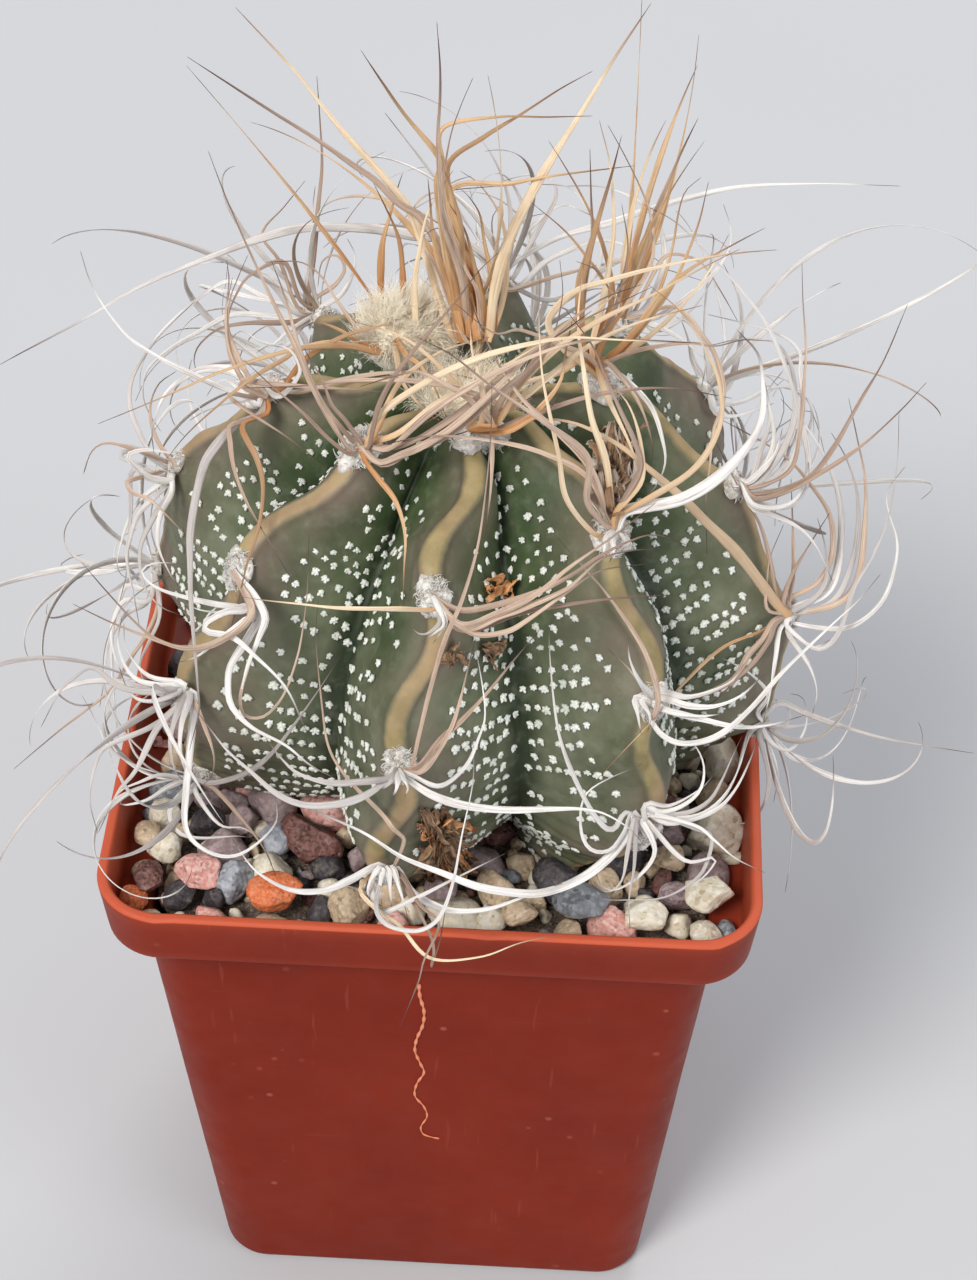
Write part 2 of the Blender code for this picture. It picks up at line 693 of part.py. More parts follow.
def withered(name, start, direction, length, radius, colour, seed):
    """A shrivelled flower: a closed crumpled tube, wide in its middle."""
    rng = random.Random(seed)
    d = Vector(direction).normalized()
    side = d.cross(Vector((0, 0, 1))).normalized()
    other = d.cross(side)
    rings, n = [], 7
    for k, swell in enumerate((0.45, 0.9, 1.0, 0.7, 0.85, 0.35)):
        c = Vector(start) + d * (length * k / 5)
        ring = []
        for j in range(n):
            a = 2 * math.pi * j / n
            r = radius * swell * (1 + rng.uniform(-0.22, 0.22))
            ring.append(tuple(c + side * (r * math.cos(a)) + other * (r * math.sin(a))))
        rings.append(ring)
    points, faces = loft(rings)
    line = densify([tuple(Vector(start) + d * (length * k / 5)) for k in range(6)])
    PLACED.append((line, np.full(len(line), radius * 1.2)))
    add_object(name, points, faces, colour, 0.9)


def build_flowers():
    a = rib_angle(1)
    out = Vector((math.cos(a), math.sin(a), 0.0))
    c = Vector((PLANT_X, PLANT_Y, POT_HEIGHT))
    withered("withered_flower_right", c + out * 14.5 + Vector((2.0, 1.5, 60.9)),
             out * 0.9 + Vector((0.15, 0.0, -0.2)), 8.0, 2.0, (0.20, 0.13, 0.09), 21)
    base, normal, side, along, u = cushion_frame(0, 1)
    withered("withered_flower_front", base + side * 4.6 + normal * 0.9 - along * 0.5,
             side * 1.0 - along * 0.15 + normal * 0.25, 6.5, 1.2, (0.42, 0.20, 0.08), 22)
    withered("withered_flower_foot", Vector((4.5, -37.0, POT_HEIGHT - 0.6)),
             Vector((0.9, 0.15, -0.05)), 8.0, 1.7, (0.16, 0.09, 0.05), 23)


def main():
    for obj in list(bpy.data.objects):
        bpy.data.objects.remove(obj, do_unlink=True)
    build_pot()
    build_soil()
    build_bed()
    build_stones()
    build_stem()
    build_wool()
    build_flowers()
    build_spines()


main()
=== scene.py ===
"""Looks for the potted goat's-horn cactus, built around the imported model."""
import math

import bpy
import numpy as np
from mathutils import Matrix, Vector
from mathutils.bvhtree import BVHTree


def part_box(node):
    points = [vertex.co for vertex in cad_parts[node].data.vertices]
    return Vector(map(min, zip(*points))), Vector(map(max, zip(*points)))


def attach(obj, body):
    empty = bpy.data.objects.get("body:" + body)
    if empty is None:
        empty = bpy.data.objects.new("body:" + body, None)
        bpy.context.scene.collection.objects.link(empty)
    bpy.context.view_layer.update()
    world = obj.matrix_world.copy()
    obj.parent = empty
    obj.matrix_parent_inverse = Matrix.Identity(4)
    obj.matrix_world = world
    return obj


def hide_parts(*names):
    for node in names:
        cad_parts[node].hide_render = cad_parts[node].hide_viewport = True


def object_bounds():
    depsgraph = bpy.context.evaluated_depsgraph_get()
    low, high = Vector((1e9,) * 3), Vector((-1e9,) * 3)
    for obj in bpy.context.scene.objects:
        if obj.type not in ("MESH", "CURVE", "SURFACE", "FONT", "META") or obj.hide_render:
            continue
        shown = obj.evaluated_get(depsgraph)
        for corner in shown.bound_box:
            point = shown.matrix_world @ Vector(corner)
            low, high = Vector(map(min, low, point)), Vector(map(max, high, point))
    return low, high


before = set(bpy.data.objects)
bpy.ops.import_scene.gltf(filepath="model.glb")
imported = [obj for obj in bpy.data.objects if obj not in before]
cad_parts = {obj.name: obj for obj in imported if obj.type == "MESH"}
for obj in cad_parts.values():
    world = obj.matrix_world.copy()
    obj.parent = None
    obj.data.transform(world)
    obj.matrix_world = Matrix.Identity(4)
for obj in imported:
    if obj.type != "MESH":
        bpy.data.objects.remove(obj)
CAD_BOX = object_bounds()
NODES = sorted(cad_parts)
MM = 0.001

# --------------------------------------------------------------- the camera
# The picture frame is 977 x 1280; the lens is given for its long side.
FRAME_W, FRAME_H = 977.0, 1280.0
FOCAL = 2650.0
CAM_AZ, CAM_EL, CAM_ROLL = math.radians(2.05), math.radians(45.03), math.radians(1.28)
CAM_POS = np.array([15.46, -264.99, 375.86])
_back = np.array([math.sin(CAM_AZ) * math.cos(CAM_EL),
                  -math.cos(CAM_AZ) * math.cos(CAM_EL), math.sin(CAM_EL)])
_right = np.cross(-_back, [0, 0, 1.0])
_right /= np.linalg.norm(_right)
_up = np.cross(_right, -_back)
CAM_X = math.cos(CAM_ROLL) * _right + math.sin(CAM_ROLL) * _up
CAM_Y = -math.sin(CAM_ROLL) * _right + math.cos(CAM_ROLL) * _up
PLANT = np.array([3.0, -0.9, 130.0])       # middle of the stem, mm
PLANT_DEPTH = float((CAM_POS - PLANT) @ _back)


def at(x, y, near=0.0):
    """The point seen at (x, y) of the frame, `near` mm this side of the stem's middle."""
    d = PLANT_DEPTH - near
    return (CAM_POS - _back * d + CAM_X * ((x - FRAME_W / 2) / FOCAL * d)
            - CAM_Y * ((y - FRAME_H / 2) / FOCAL * d))


def near_of(p):
    return PLANT_DEPTH - float((CAM_POS - np.asarray(p)) @ _back)


def make_camera():
    cam = bpy.data.cameras.new("photo_camera")
    cam.sensor_fit = "AUTO"
    cam.sensor_width = 36.0
    cam.lens = FOCAL * 36.0 / FRAME_H
    cam.clip_start, cam.clip_end = 0.01, 20
    obj = bpy.data.objects.new("photo_camera", cam)
    m = Matrix.Identity(4)
    for i in range(3):
        m[i][0], m[i][1], m[i][2] = CAM_X[i], CAM_Y[i], _back[i]
        m[i][3] = CAM_POS[i] * MM
    obj.matrix_world = m
    bpy.context.scene.collection.objects.link(obj)
    bpy.context.scene.camera = obj


# ------------------------------------------------------------- noise, numpy


def _hash(ix, iy, iz, seed):
    n = (ix.astype(np.int64) * 374761393 + iy.astype(np.int64) * 668265263
         + iz.astype(np.int64) * 2147483647 + seed * 144665)
    n = (n ^ (n >> 13)) * 1274126177
    n = n ^ (n >> 16)
    return (n & 0xFFFFFF) / float(0xFFFFFF) * 2.0 - 1.0


def vnoise(p, seed=0):
    p = np.asarray(p, float)
    i = np.floor(p).astype(np.int64)
    f = p - i
    f = f * f * (3 - 2 * f)
    out = 0
    for dx in (0, 1):
        wx = f[..., 0] if dx else 1 - f[..., 0]
        for dy in (0, 1):
            wy = f[..., 1] if dy else 1 - f[..., 1]
            for dz in (0, 1):
                wz = f[..., 2] if dz else 1 - f[..., 2]
                out = out + wx * wy * wz * _hash(i[..., 0] + dx, i[..., 1] + dy, i[..., 2] + dz, seed)
    return out


def fbm(p, seed=0, octaves=3):
    p = np.asarray(p, float)
    out, amp = 0, 1.0
    for k in range(octaves):
        out = out + vnoise(p * 2 ** k + 13.7 * k, seed + k) * amp
        amp *= 0.5
    return out / 1.75


def smooth(x, a, b):
    t = np.clip((np.asarray(x, float) - a) / (b - a), 0, 1)
    return t * t * (3 - 2 * t)


# ------------------------------------------------------------ mesh building


class Build:
    """Collects points and faces in millimetres, with per-point data."""

    def __init__(self):
        self.v, self.q, self.t, self.qm, self.tm, self.a = [], [], [], [], [], []
        self.n = 0

    def add(self, v, quads=None, tris=None, mat=0, data=None):
        v = np.asarray(v, float)
        self.v.append(v)
        if quads is not None and len(quads):
            quads = np.asarray(quads, np.int64)
            self.q.append(quads + self.n)
            self.qm.append(np.full(len(quads), mat, np.int32))
        if tris is not None and len(tris):
            tris = np.asarray(tris, np.int64)
            self.t.append(tris + self.n)
            self.tm.append(np.full(len(tris), mat, np.int32))
        if data is None:
            data = np.zeros((len(v), 4))
        self.a.append(np.asarray(data, float))
        self.n += len(v)

    def object(self, name, materials, smooth_faces=True, slot=None, replaces=()):
        v = np.concatenate(self.v) * MM
        q = np.concatenate(self.q) if self.q else np.zeros((0, 4), np.int64)
        t = np.concatenate(self.t) if self.t else np.zeros((0, 3), np.int64)
        mats = np.concatenate(self.qm + self.tm)
        mesh = bpy.data.meshes.new(name)
        mesh.vertices.add(len(v))
        mesh.vertices.foreach_set("co", v.astype(np.float32).ravel())
        loops = np.concatenate([q.ravel(), t.ravel()]).astype(np.int32)
        mesh.loops.add(len(loops))
        mesh.loops.foreach_set("vertex_index", loops)
        total = np.concatenate([np.full(len(q), 4), np.full(len(t), 3)]).astype(np.int32)
        start = np.concatenate([[0], np.cumsum(total)[:-1]]).astype(np.int32)
        mesh.polygons.add(len(total))
        mesh.polygons.foreach_set("loop_start", start)
        mesh.polygons.foreach_set("loop_total", total)
        mesh.polygons.foreach_set("material_index", mats)
        mesh.update(calc_edges=True)
        mesh.validate()
        mesh.polygons.foreach_set("use_smooth", np.full(len(mesh.polygons), smooth_faces))
        attribute = mesh.attributes.new("data", "FLOAT_COLOR", "POINT")
        attribute.data.foreach_set("color", np.concatenate(self.a).astype(np.float32).ravel())
        for m in materials:
            mesh.materials.append(m)
        obj = bpy.data.objects.new(name, mesh)
        bpy.context.scene.collection.objects.link(obj)
        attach(obj, "root")
        if replaces:
            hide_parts(*replaces)
        return obj


def grid_faces(rows, cols, wrap=True):
    i = np.arange(rows - 1)[:, None]
    j = np.arange(cols if wrap else cols - 1)[None, :]
    k = (j + 1) % cols
    return np.stack([i * cols + j, i * cols + k, (i + 1) * cols + k, (i + 1) * cols + j],
                    -1).reshape(-1, 4)


def curve(points, count):
    """Catmull-Rom through the points, resampled evenly."""
    p = np.asarray(points, float)
    if len(p) == 2:
        p = np.vstack([p[0], p.mean(0), p[1]])
    e = np.vstack([2 * p[0] - p[1], p, 2 * p[-1] - p[-2]])
    out = []
    t = np.linspace(0, 1, 14, endpoint=False)[:, None]
    for i in range(1, len(e) - 2):
        a, b, c, d = e[i - 1], e[i], e[i + 1], e[i + 2]
        out.append(0.5 * (2 * b + (c - a) * t + (2 * a - 5 * b + 4 * c - d) * t ** 2
                          + (3 * b - a - 3 * c + d) * t ** 3))
    out = np.vstack(out + [p[-1:]])
    s = np.concatenate([[0], np.cumsum(np.linalg.norm(np.diff(out, axis=0), axis=1))])
    u = np.linspace(0, s[-1], count)
    return np.stack([np.interp(u, s, out[:, k]) for k in range(3)], 1), s[-1]


def frames_along(p, first):
    """Tangents and a slowly turning side direction along a curve."""
    t = np.gradient(p, axis=0)
    t /= np.linalg.norm(t, axis=1)[:, None] + 1e-12
    side = np.zeros_like(p)
    s = np.asarray(first, float)
    for i in range(len(p)):
        s = s - t[i] * (s @ t[i])
        n = np.linalg.norm(s)
        s = s / n if n > 1e-6 else np.cross(t[i], [0.3, 0.5, 0.8])
        side[i] = s
    return t, side, np.cross(t, side)


# ---------------------------------------------------------------- materials


class Nodes:
    """A short way to wire a procedural material."""

    def __init__(self, name):
        self.m = bpy.data.materials.new(name)
        self.m.use_nodes = True
        self.t = self.m.node_tree
        self.bsdf = self.t.nodes["Principled BSDF"]

    def new(self, kind, **inputs):
        node = self.t.nodes.new(kind)
        for key, value in inputs.items():
            if key in node.inputs.keys():
                self.set(node.inputs[key], value)
            else:
                setattr(node, key, value)
        return node

    def set(self, socket, value):
        if isinstance(value, bpy.types.NodeSocket):
            self.t.links.new(value, socket)
        else:
            socket.default_value = value

    def data(self):
        node = self.t.nodes.new("ShaderNodeAttribute")
        node.attribute_name = "data"
        sep = self.t.nodes.new("ShaderNodeSeparateColor")
        self.t.links.new(node.outputs["Color"], sep.inputs[0])
        return (sep.outputs[0], sep.outputs[1], sep.outputs[2], node.outputs["Alpha"])

    def where(self):
        return self.t.nodes.new("ShaderNodeTexCoord").outputs["Object"]

    def scaled(self, vector, scale):
        node = self.t.nodes.new("ShaderNodeMapping")
        self.t.links.new(vector, node.inputs["Vector"])
        node.inputs["Scale"].default_value = scale
        return node.outputs[0]

    def combine(self, x, y, z):
        node = self.t.nodes.new("ShaderNodeCombineXYZ")
        for i, value in enumerate((x, y, z)):
            self.set(node.inputs[i], value)
        return node.outputs[0]

    def noise(self, vector, scale, detail=3.0, rough=0.55, distortion=0.0):
        node = self.t.nodes.new("ShaderNodeTexNoise")
        self.t.links.new(vector, node.inputs["Vector"])
        node.inputs["Scale"].default_value = scale
        node.inputs["Detail"].default_value = detail
        node.inputs["Roughness"].default_value = rough
        node.inputs["Distortion"].default_value = distortion
        return node.outputs["Fac"]

    def voronoi(self, vector, scale, feature="F1", output="Distance"):
        node = self.t.nodes.new("ShaderNodeTexVoronoi")
        node.feature = feature
        self.t.links.new(vector, node.inputs["Vector"])
        node.inputs["Scale"].default_value = scale
        return node.outputs[output]

    def ramp(self, value, stops):
        node = self.t.nodes.new("ShaderNodeValToRGB")
        self.t.links.new(value, node.inputs[0])
        ramp = node.color_ramp
        while len(ramp.elements) < len(stops):
            ramp.elements.new(0.5)
        for element, (pos, colour) in zip(ramp.elements, stops):
            element.position = pos
            if not isinstance(colour, (tuple, list)):
                colour = (colour,) * 3
            element.color = (*colour, 1.0)
        return node.outputs[0]

    def mix(self, fac, a, b, blend="MIX"):
        node = self.t.nodes.new("ShaderNodeMix")
        node.data_type = "RGBA"
        node.blend_type = blend
        self.set(node.inputs[0], fac)
        for socket, value in ((node.inputs[6], a), (node.inputs[7], b)):
            if isinstance(value, (tuple, list)) and len(value) == 3:
                value = (*value, 1.0)
            self.set(socket, value)
        return node.outputs[2]

    def math(self, op, a, b=None, clamp=False):
        node = self.t.nodes.new("ShaderNodeMath")
        node.operation = op
        node.use_clamp = clamp
        self.set(node.inputs[0], a)
        if b is not None:
            self.set(node.inputs[1], b)
        return node.outputs[0]

    def bump(self, height, strength, distance_mm, normal=None):
        node = self.t.nodes.new("ShaderNodeBump")
        node.inputs["Strength"].default_value = strength
        node.inputs["Distance"].default_value = distance_mm * MM
        self.t.links.new(height, node.inputs["Height"])
        if normal is not None:
            self.t.links.new(normal, node.inputs["Normal"])
        return node.outputs[0]

    def finish(self, colour=None, rough=None, normal=None, **plain):
        if colour is not None:
            self.set(self.bsdf.inputs["Base Color"],
                     colour if not isinstance(colour, tuple) else (*colour, 1.0))
        if rough is not None:
            self.set(self.bsdf.inputs["Roughness"], rough)
        if normal is not None:
            self.t.links.new(normal, self.bsdf.inputs["Normal"])
        for key, value in plain.items():
            self.bsdf.inputs[key.replace("_", " ")].default_value = value
        return self.m


def srgb(r, g, b):
    def f(c):
        c /= 255.0
        return c / 12.92 if c <= 0.04045 else ((c + 0.055) / 1.055) ** 2.4
    return (f(r), f(g), f(b))


def pot_material():
    n = Nodes("pot_plastic")
    p = n.where()
    light, foot_dirt_and_inner_shade, face, _ = n.data()          # first channel: painted highlight on the rim lip and inner rim; second: dirt near the foot and painted shade down the inside of the pot
    cloud = n.noise(p, 38.0, 4.0, 0.6)
    fine = n.noise(p, 900.0, 3.0, 0.6)
    base = n.mix(n.ramp(cloud, ((0.35, 0.0), (0.68, 1.0))), srgb(114, 29, 9), srgb(126, 35, 12))
    # painted highlight: the rim lip and the top of the inner rim are lightened, as if catching the light from above
    base = n.mix(n.math("MULTIPLY", light, 0.86), base, srgb(196, 92, 64))
    # pale dust in specks and long faint scratches
    specks = n.ramp(n.voronoi(p, 260.0), ((0.0, 1.0), (0.10, 1.0), (0.16, 0.0)))
    speck_gate = n.ramp(n.noise(p, 60.0, 2.0), ((0.58, 0.0), (0.66, 1.0)))
    base = n.mix(n.math("MULTIPLY", n.math("MULTIPLY", specks, speck_gate), 0.28),
                 base, srgb(206, 128, 104))
    scr = n.noise(n.scaled(p, (30.0, 30.0, 900.0)), 1.0, 2.0)
    scr2 = n.noise(n.scaled(p, (700.0, 700.0, 18.0)), 1.0, 2.0)
    scratch = n.math("MAXIMUM", n.ramp(scr, ((0.70, 0.0), (0.74, 1.0))),
                     n.ramp(scr2, ((0.70, 0.0), (0.73, 1.0))))
    base = n.mix(n.math("MULTIPLY", scratch, 0.10), base, srgb(196, 112, 88))
    # dirt near the foot and painted shade down the inside of the pot, broken up by noise
    base = n.mix(n.math("MULTIPLY", foot_dirt_and_inner_shade, n.ramp(n.noise(p, 120.0, 5.0), ((0.45, 0.0), (0.7, 0.8)))),
                 base, srgb(104, 48, 34))
    rough = n.ramp(n.noise(p, 210.0, 4.0), ((0.3, 0.42), (0.7, 0.58)))
    grain = n.bump(fine, 0.18, 0.05)
    wavy = n.bump(cloud, 0.25, 0.6, grain)
    return n.finish(base, rough, wavy, Specular_IOR_Level=0.14, Subsurface_Weight=0.02,
                    Subsurface_Scale=0.002)


def stem_material():
    n = Nodes("stem_skin")
    p = n.where()
    ridge, valley_shade, age, crest = n.data()       # 0..1 each
    broad = n.noise(p, 95.0, 4.0, 0.6)
    mid = n.noise(p, 420.0, 4.0, 0.6)
    fine = n.noise(p, 2600.0, 2.0, 0.5)
    green = n.mix(n.ramp(broad, ((0.34, 0.0), (0.66, 1.0))), srgb(66, 76, 48), srgb(112, 116, 94))
    young = n.mix(n.ramp(broad, ((0.35, 0.0), (0.65, 1.0))), srgb(46, 66, 34), srgb(80, 94, 60))
    base = n.mix(age, young, green)
    # purple-brown flush on the flanks towards the ridge
    flush = n.math("MULTIPLY", n.ramp(ridge, ((0.30, 0.0), (0.80, 1.0))),
                   n.ramp(n.noise(p, 60.0, 3.0), ((0.40, 0.15), (0.62, 1.0))))
    base = n.mix(n.math("MULTIPLY", flush, 0.78), base, srgb(124, 106, 96))
    # painted shade: the valleys between the ribs and the sunken crown centre darken to a deep green
    base = n.mix(n.ramp(valley_shade, ((0.25, 0.0), (0.95, 0.9))), base, srgb(24, 40, 17))
    # pale bloom mottling
    base = n.mix(n.math("MULTIPLY", n.ramp(mid, ((0.50, 0.0), (0.72, 1.0))), 0.22),
                 base, srgb(146, 152, 132))
    # tan ridge line
    line = n.math("ADD", crest, n.math("MULTIPLY", n.math("SUBTRACT", mid, 0.5), 0.35))
    line = n.ramp(line, ((0.42, 0.0), (0.74, 1.0)))
    tan = n.mix(n.ramp(n.noise(p, 240.0, 4.0), ((0.36, 0.0), (0.64, 1.0))),
                srgb(128, 114, 74), srgb(164, 146, 102))
    tan = n.mix(n.ramp(n.noise(p, 70.0, 2.0), ((0.42, 0.0), (0.60, 0.6))), tan, srgb(168, 138, 110))
    # a brown shadow line where the ridge turns into the flank
    edge = n.ramp(crest, ((0.0, 0.0), (0.22, 1.0), (0.48, 0.0)))
    base = n.mix(n.math("MULTIPLY", edge, 0.45), base, srgb(86, 74, 54))
    base = n.mix(n.math("MULTIPLY", line, 0.92), base, tan)
    rough = n.ramp(mid, ((0.3, 0.5), (0.7, 0.66)))
    bumped = n.bump(fine, 0.35, 0.06)
    bumped = n.bump(mid, 0.35, 0.30, bumped)
    return n.finish(base, rough, bumped, Specular_IOR_Level=0.35, Subsurface_Weight=0.12,
                    Subsurface_Scale=0.0015, Subsurface_Radius=(0.8, 1.0, 0.4))


def tuft_material():
    n = Nodes("hair_tufts")
    p = n.where()
    tint, _, _, _ = n.data()
    base = n.mix(n.noise(p, 1800.0, 2.0), srgb(206, 208, 196), srgb(246, 246, 240))
    base = n.mix(n.math("MULTIPLY", tint, 0.45), base, srgb(168, 172, 150))
    return n.finish(base, 0.85, n.bump(n.noise(p, 5200.0, 2.0), 0.6, 0.05),
                    Sheen_Weight=0.3, Subsurface_Weight=0.08, Subsurface_Scale=0.0006)


def spine_material(name, body, light, dark, tip, streak, root=None, reach=1.0):
    """data: across 0..1, along in cm, tone 0..1, tip 0..1."""
    n = Nodes(name)
    across, along, tone, tipness = n.data()
    v = n.combine(n.math("MULTIPLY", across, 7.0), n.math("MULTIPLY", along, 1.1),
                  n.math("MULTIPLY", tone, 37.0))
    streaks = n.noise(v, 1.0, 4.0, 0.62)
    blotch = n.noise(n.combine(across, n.math("MULTIPLY", along, 1.6),
                               n.math("MULTIPLY", tone, 91.0)), 1.0, 3.0)
    base = n.mix(n.ramp(streaks, ((0.36, 0.0), (0.64, 1.0))), body, light)
    base = n.mix(n.math("MULTIPLY", n.ramp(streaks, ((0.30, 1.0), (0.42, 0.0))), streak), base, dark)
    base = n.mix(n.math("MULTIPLY", n.ramp(blotch, ((0.50, 0.0), (0.70, 1.0))), 0.40), base, dark)
    base = n.mix(n.math("MULTIPLY", n.ramp(tone, ((0.45, 0.0), (1.0, 1.0))), 0.62), base, dark)
    if root:
        low = n.ramp(n.math("MULTIPLY", along, 1.0 / reach), ((0.12, 0.85), (1.0, 0.0)))
        base = n.mix(low, base, n.mix(streaks, root, tuple(min(1.0, c * 1.25) for c in root)))
    base = n.mix(n.ramp(tipness, ((0.05, 0.0), (0.85, 0.95))), base, tip)
    rough = n.ramp(streaks, ((0.3, 0.52), (0.7, 0.70)))
    return n.finish(base, rough, n.bump(streaks, 0.55, 0.12), Specular_IOR_Level=0.35,
                    Subsurface_Weight=0.06, Subsurface_Scale=0.0006)


def felt_material(name, light, dark, grain=900.0, depth=0.8):
    n = Nodes(name)
    p = n.where()
    a, _, _, _ = n.data()
    f = n.noise(p, grain, 5.0, 0.7)
    base = n.mix(n.ramp(f, ((0.38, 0.0), (0.60, 1.0))), dark, light)
    # painted shade: darker down the sides of each areole cushion towards the stem; the loose hairs get a random tone
    base = n.mix(n.math("MULTIPLY", a, 0.6), base, dark)
    return n.finish(base, 0.95, n.bump(n.noise(p, 2400.0, 4.0, 0.7), depth, 0.18),
                    Sheen_Weight=0.35, Sheen_Roughness=0.5, Subsurface_Weight=0.1,
                    Subsurface_Scale=0.0008)


def stone_material(name, a, b, c, grain=700.0, pits=0.0, spots=None):
    """Mineral with large patches a/b, crystals c and a little dust."""
    a, b, c = (tuple(min(0.92, v * 1.18) for v in col) for col in (a, b, c))
    n = Nodes(name)
    p = n.where()
    own, _, _, _ = n.data()
    shift = n.combine(own, n.math("MULTIPLY", own, 3.1), n.math("MULTIPLY", own, 7.7))
    add = n.t.nodes.new("ShaderNodeVectorMath")
    n.t.links.new(p, add.inputs[0])
    n.t.links.new(shift, add.inputs[1])
    q = add.outputs[0]
    patch = n.noise(q, 230.0, 4.0, 0.6)
    base = n.mix(n.ramp(patch, ((0.30, 0.0), (0.70, 1.0))), a, b)
    crystals = n.voronoi(q, grain * 2.6, output="Color")
    cr = n.t.nodes.new("ShaderNodeSeparateColor")
    n.t.links.new(crystals, cr.inputs[0])
    base = n.mix(n.math("MULTIPLY", n.ramp(cr.outputs[0], ((0.30, 0.0), (1.0, 1.0))), 0.55), base, c)
    if spots:
        base = n.mix(n.math("MULTIPLY", n.ramp(cr.outputs[1], ((0.84, 0.0), (0.96, 1.0))), 0.55),
                     base, spots)
    tint = n.ramp(own, ((0.0, 0.90), (0.5, 1.0), (1.0, 1.0)))
    base = n.mix(1.0, base, tint, "MULTIPLY")
    base = n.mix(n.math("MULTIPLY", n.ramp(n.noise(q, 900.0, 3.0), ((0.55, 0.0), (0.75, 1.0))), 0.3),
                 base, srgb(176, 164, 148))
    height = n.noise(q, 1500.0, 5.0, 0.65)
    if pits:
        hole = n.ramp(n.voronoi(q, 1100.0), ((0.0, 0.0), (0.45, 1.0)))
        bumped = n.bump(hole, pits, 0.35, n.bump(height, 0.5, 0.15))
    else:
        bumped = n.bump(height, 0.45, 0.16)
    return n.finish(base, n.ramp(patch, ((0.3, 0.55), (0.7, 0.8))), bumped, Specular_IOR_Level=0.4)


MATS = {
    "pot": pot_material(),
    "stem": stem_material(),
    "tuft": tuft_material(),
    "white": spine_material("old_spine_white", srgb(204, 199, 195), srgb(238, 235, 231),
                            srgb(134, 122, 118), srgb(70, 52, 46), 0.55),
    "pink": spine_material("mid_spine_tan", srgb(176, 150, 132), srgb(212, 190, 168),
                           srgb(106, 82, 74), srgb(52, 36, 34), 0.62),
    "gold": spine_material("young_spine_gold", srgb(190, 152, 112), srgb(220, 190, 150),
                           srgb(128, 90, 64), srgb(78, 48, 38), 0.55, srgb(168, 106, 48), 1.7),
    "cream": spine_material("young_spine_cream", srgb(214, 190, 158), srgb(238, 220, 190),
                            srgb(180, 148, 116), srgb(112, 78, 58), 0.5, srgb(196, 150, 100), 1.0),
    "felt": felt_material("areole_felt", srgb(240, 238, 232), srgb(170, 160, 150)),
    "wool": felt_material("crown_wool_hair", srgb(254, 247, 231), srgb(244, 229, 202), 260.0, 0.2),
    "quartz": stone_material("stone_quartz", srgb(216, 208, 188), srgb(190, 178, 152),
                             srgb(240, 236, 224), 600.0, spots=srgb(150, 128, 102)),
    "beige": stone_material("stone_beige", srgb(196, 174, 146), srgb(166, 144, 118),
                            srgb(220, 204, 178), 800.0, spots=srgb(112, 90, 70)),
    "granite": stone_material("stone_granite", srgb(214, 156, 146), srgb(192, 130, 122),
                              srgb(238, 208, 198), 900.0, spots=srgb(110, 86, 86)),
    "brick": stone_material("stone_brick", srgb(206, 112, 66), srgb(184, 90, 50),
                            srgb(226, 148, 104), 1300.0, 0.35, spots=srgb(150, 66, 38)),
    "lava": stone_material("stone_lava", srgb(112, 72, 66), srgb(74, 48, 48),
                           srgb(142, 104, 94), 900.0, 0.9),
    "slate": stone_material("stone_slate", srgb(124, 128, 134), srgb(84, 88, 94),
                            srgb(162, 166, 170), 700.0, spots=srgb(56, 58, 62)),
    "bluish": stone_material("stone_blue_grey", srgb(156, 160, 168), srgb(118, 122, 132),
                             srgb(196, 200, 206), 700.0, spots=srgb(84, 86, 94)),
    "dark": stone_material("stone_dark", srgb(62, 58, 62), srgb(40, 38, 42),
                           srgb(96, 88, 90), 900.0),
    "purple": stone_material("stone_purple_grey", srgb(150, 130, 130), srgb(118, 100, 104),
                             srgb(186, 170, 168), 800.0),
}

# ------------------------------------------------------- the stem's surface
PLANT_X, PLANT_Y, POT_HEIGHT = 3.0, -0.9, 100.0
RIBS = 8
FIRST_RIB_ANGLE = -96.6
RIB_DEPTH, RIDGE_THICKNESS, AREOLE_SPACING = 12.5, 3.2, 22.0
RIDGE_SWAY, DRIFT_START, DRIFT_SLOPE, BASE_LEAN = 1.5, 4.3, 0.1, 0.0055
FIRST_AREOLE = (12, 30, 17, 26, 12, 17, 28, 19)
AREOLES_ON_RIB = (4, 3, 4, 3, 4, 4, 3, 4)
SWAY_SIGN = (1, -1, 1, -1, 1, -1, 1, 1)
RIDGE_PROFILE = ((0, 56.0), (5.5, 57.2), (12, 58.6), (24, 55.0), (33.5, 47.0),
                 (40.4, 36.0), (44.2, 24.0), (44.3, 13.0), (40.8, 3.0),
                 (35.0, -5.0), (27.0, -11.6), (19.5, -14.2))


def profile_table():
    p = np.array(RIDGE_PROFILE, float)
    e = np.vstack([2 * p[0] - p[1], p, 2 * p[-1] - p[-2]])
    out = []
    for i in range(1, len(e) - 2):
        a, b, c, d = e[i - 1], e[i], e[i + 1], e[i + 2]
        for k in range(12):
            t = k / 12
            out.append(0.5 * (2 * b + (c - a) * t + (2 * a - 5 * b + 4 * c - d) * t * t
                              + (3 * b - a - 3 * c + d) * t ** 3))
    out.append(p[-1])
    out = np.array(out)
    s = np.concatenate([[0], np.cumsum(np.linalg.norm(np.diff(out, axis=0), axis=1))])
    return s, out


PS, PT = profile_table()
PLEN = float(PS[-1])


def profile_at(u):
    u = np.asarray(u, float)
    r, z = np.interp(u, PS, PT[:, 0]), np.interp(u, PS, PT[:, 1])
    dr = np.interp(u + 0.8, PS, PT[:, 0]) - np.interp(u - 0.8, PS, PT[:, 0])
    dz = np.interp(u + 0.8, PS, PT[:, 1]) - np.interp(u - 0.8, PS, PT[:, 1])
    n = np.hypot(dr, dz) + 1e-9
    return r, z, -dz / n, dr / n


def lean(z):
    return BASE_LEAN * np.clip(24.0 - np.asarray(z, float), 0, 40) ** 2


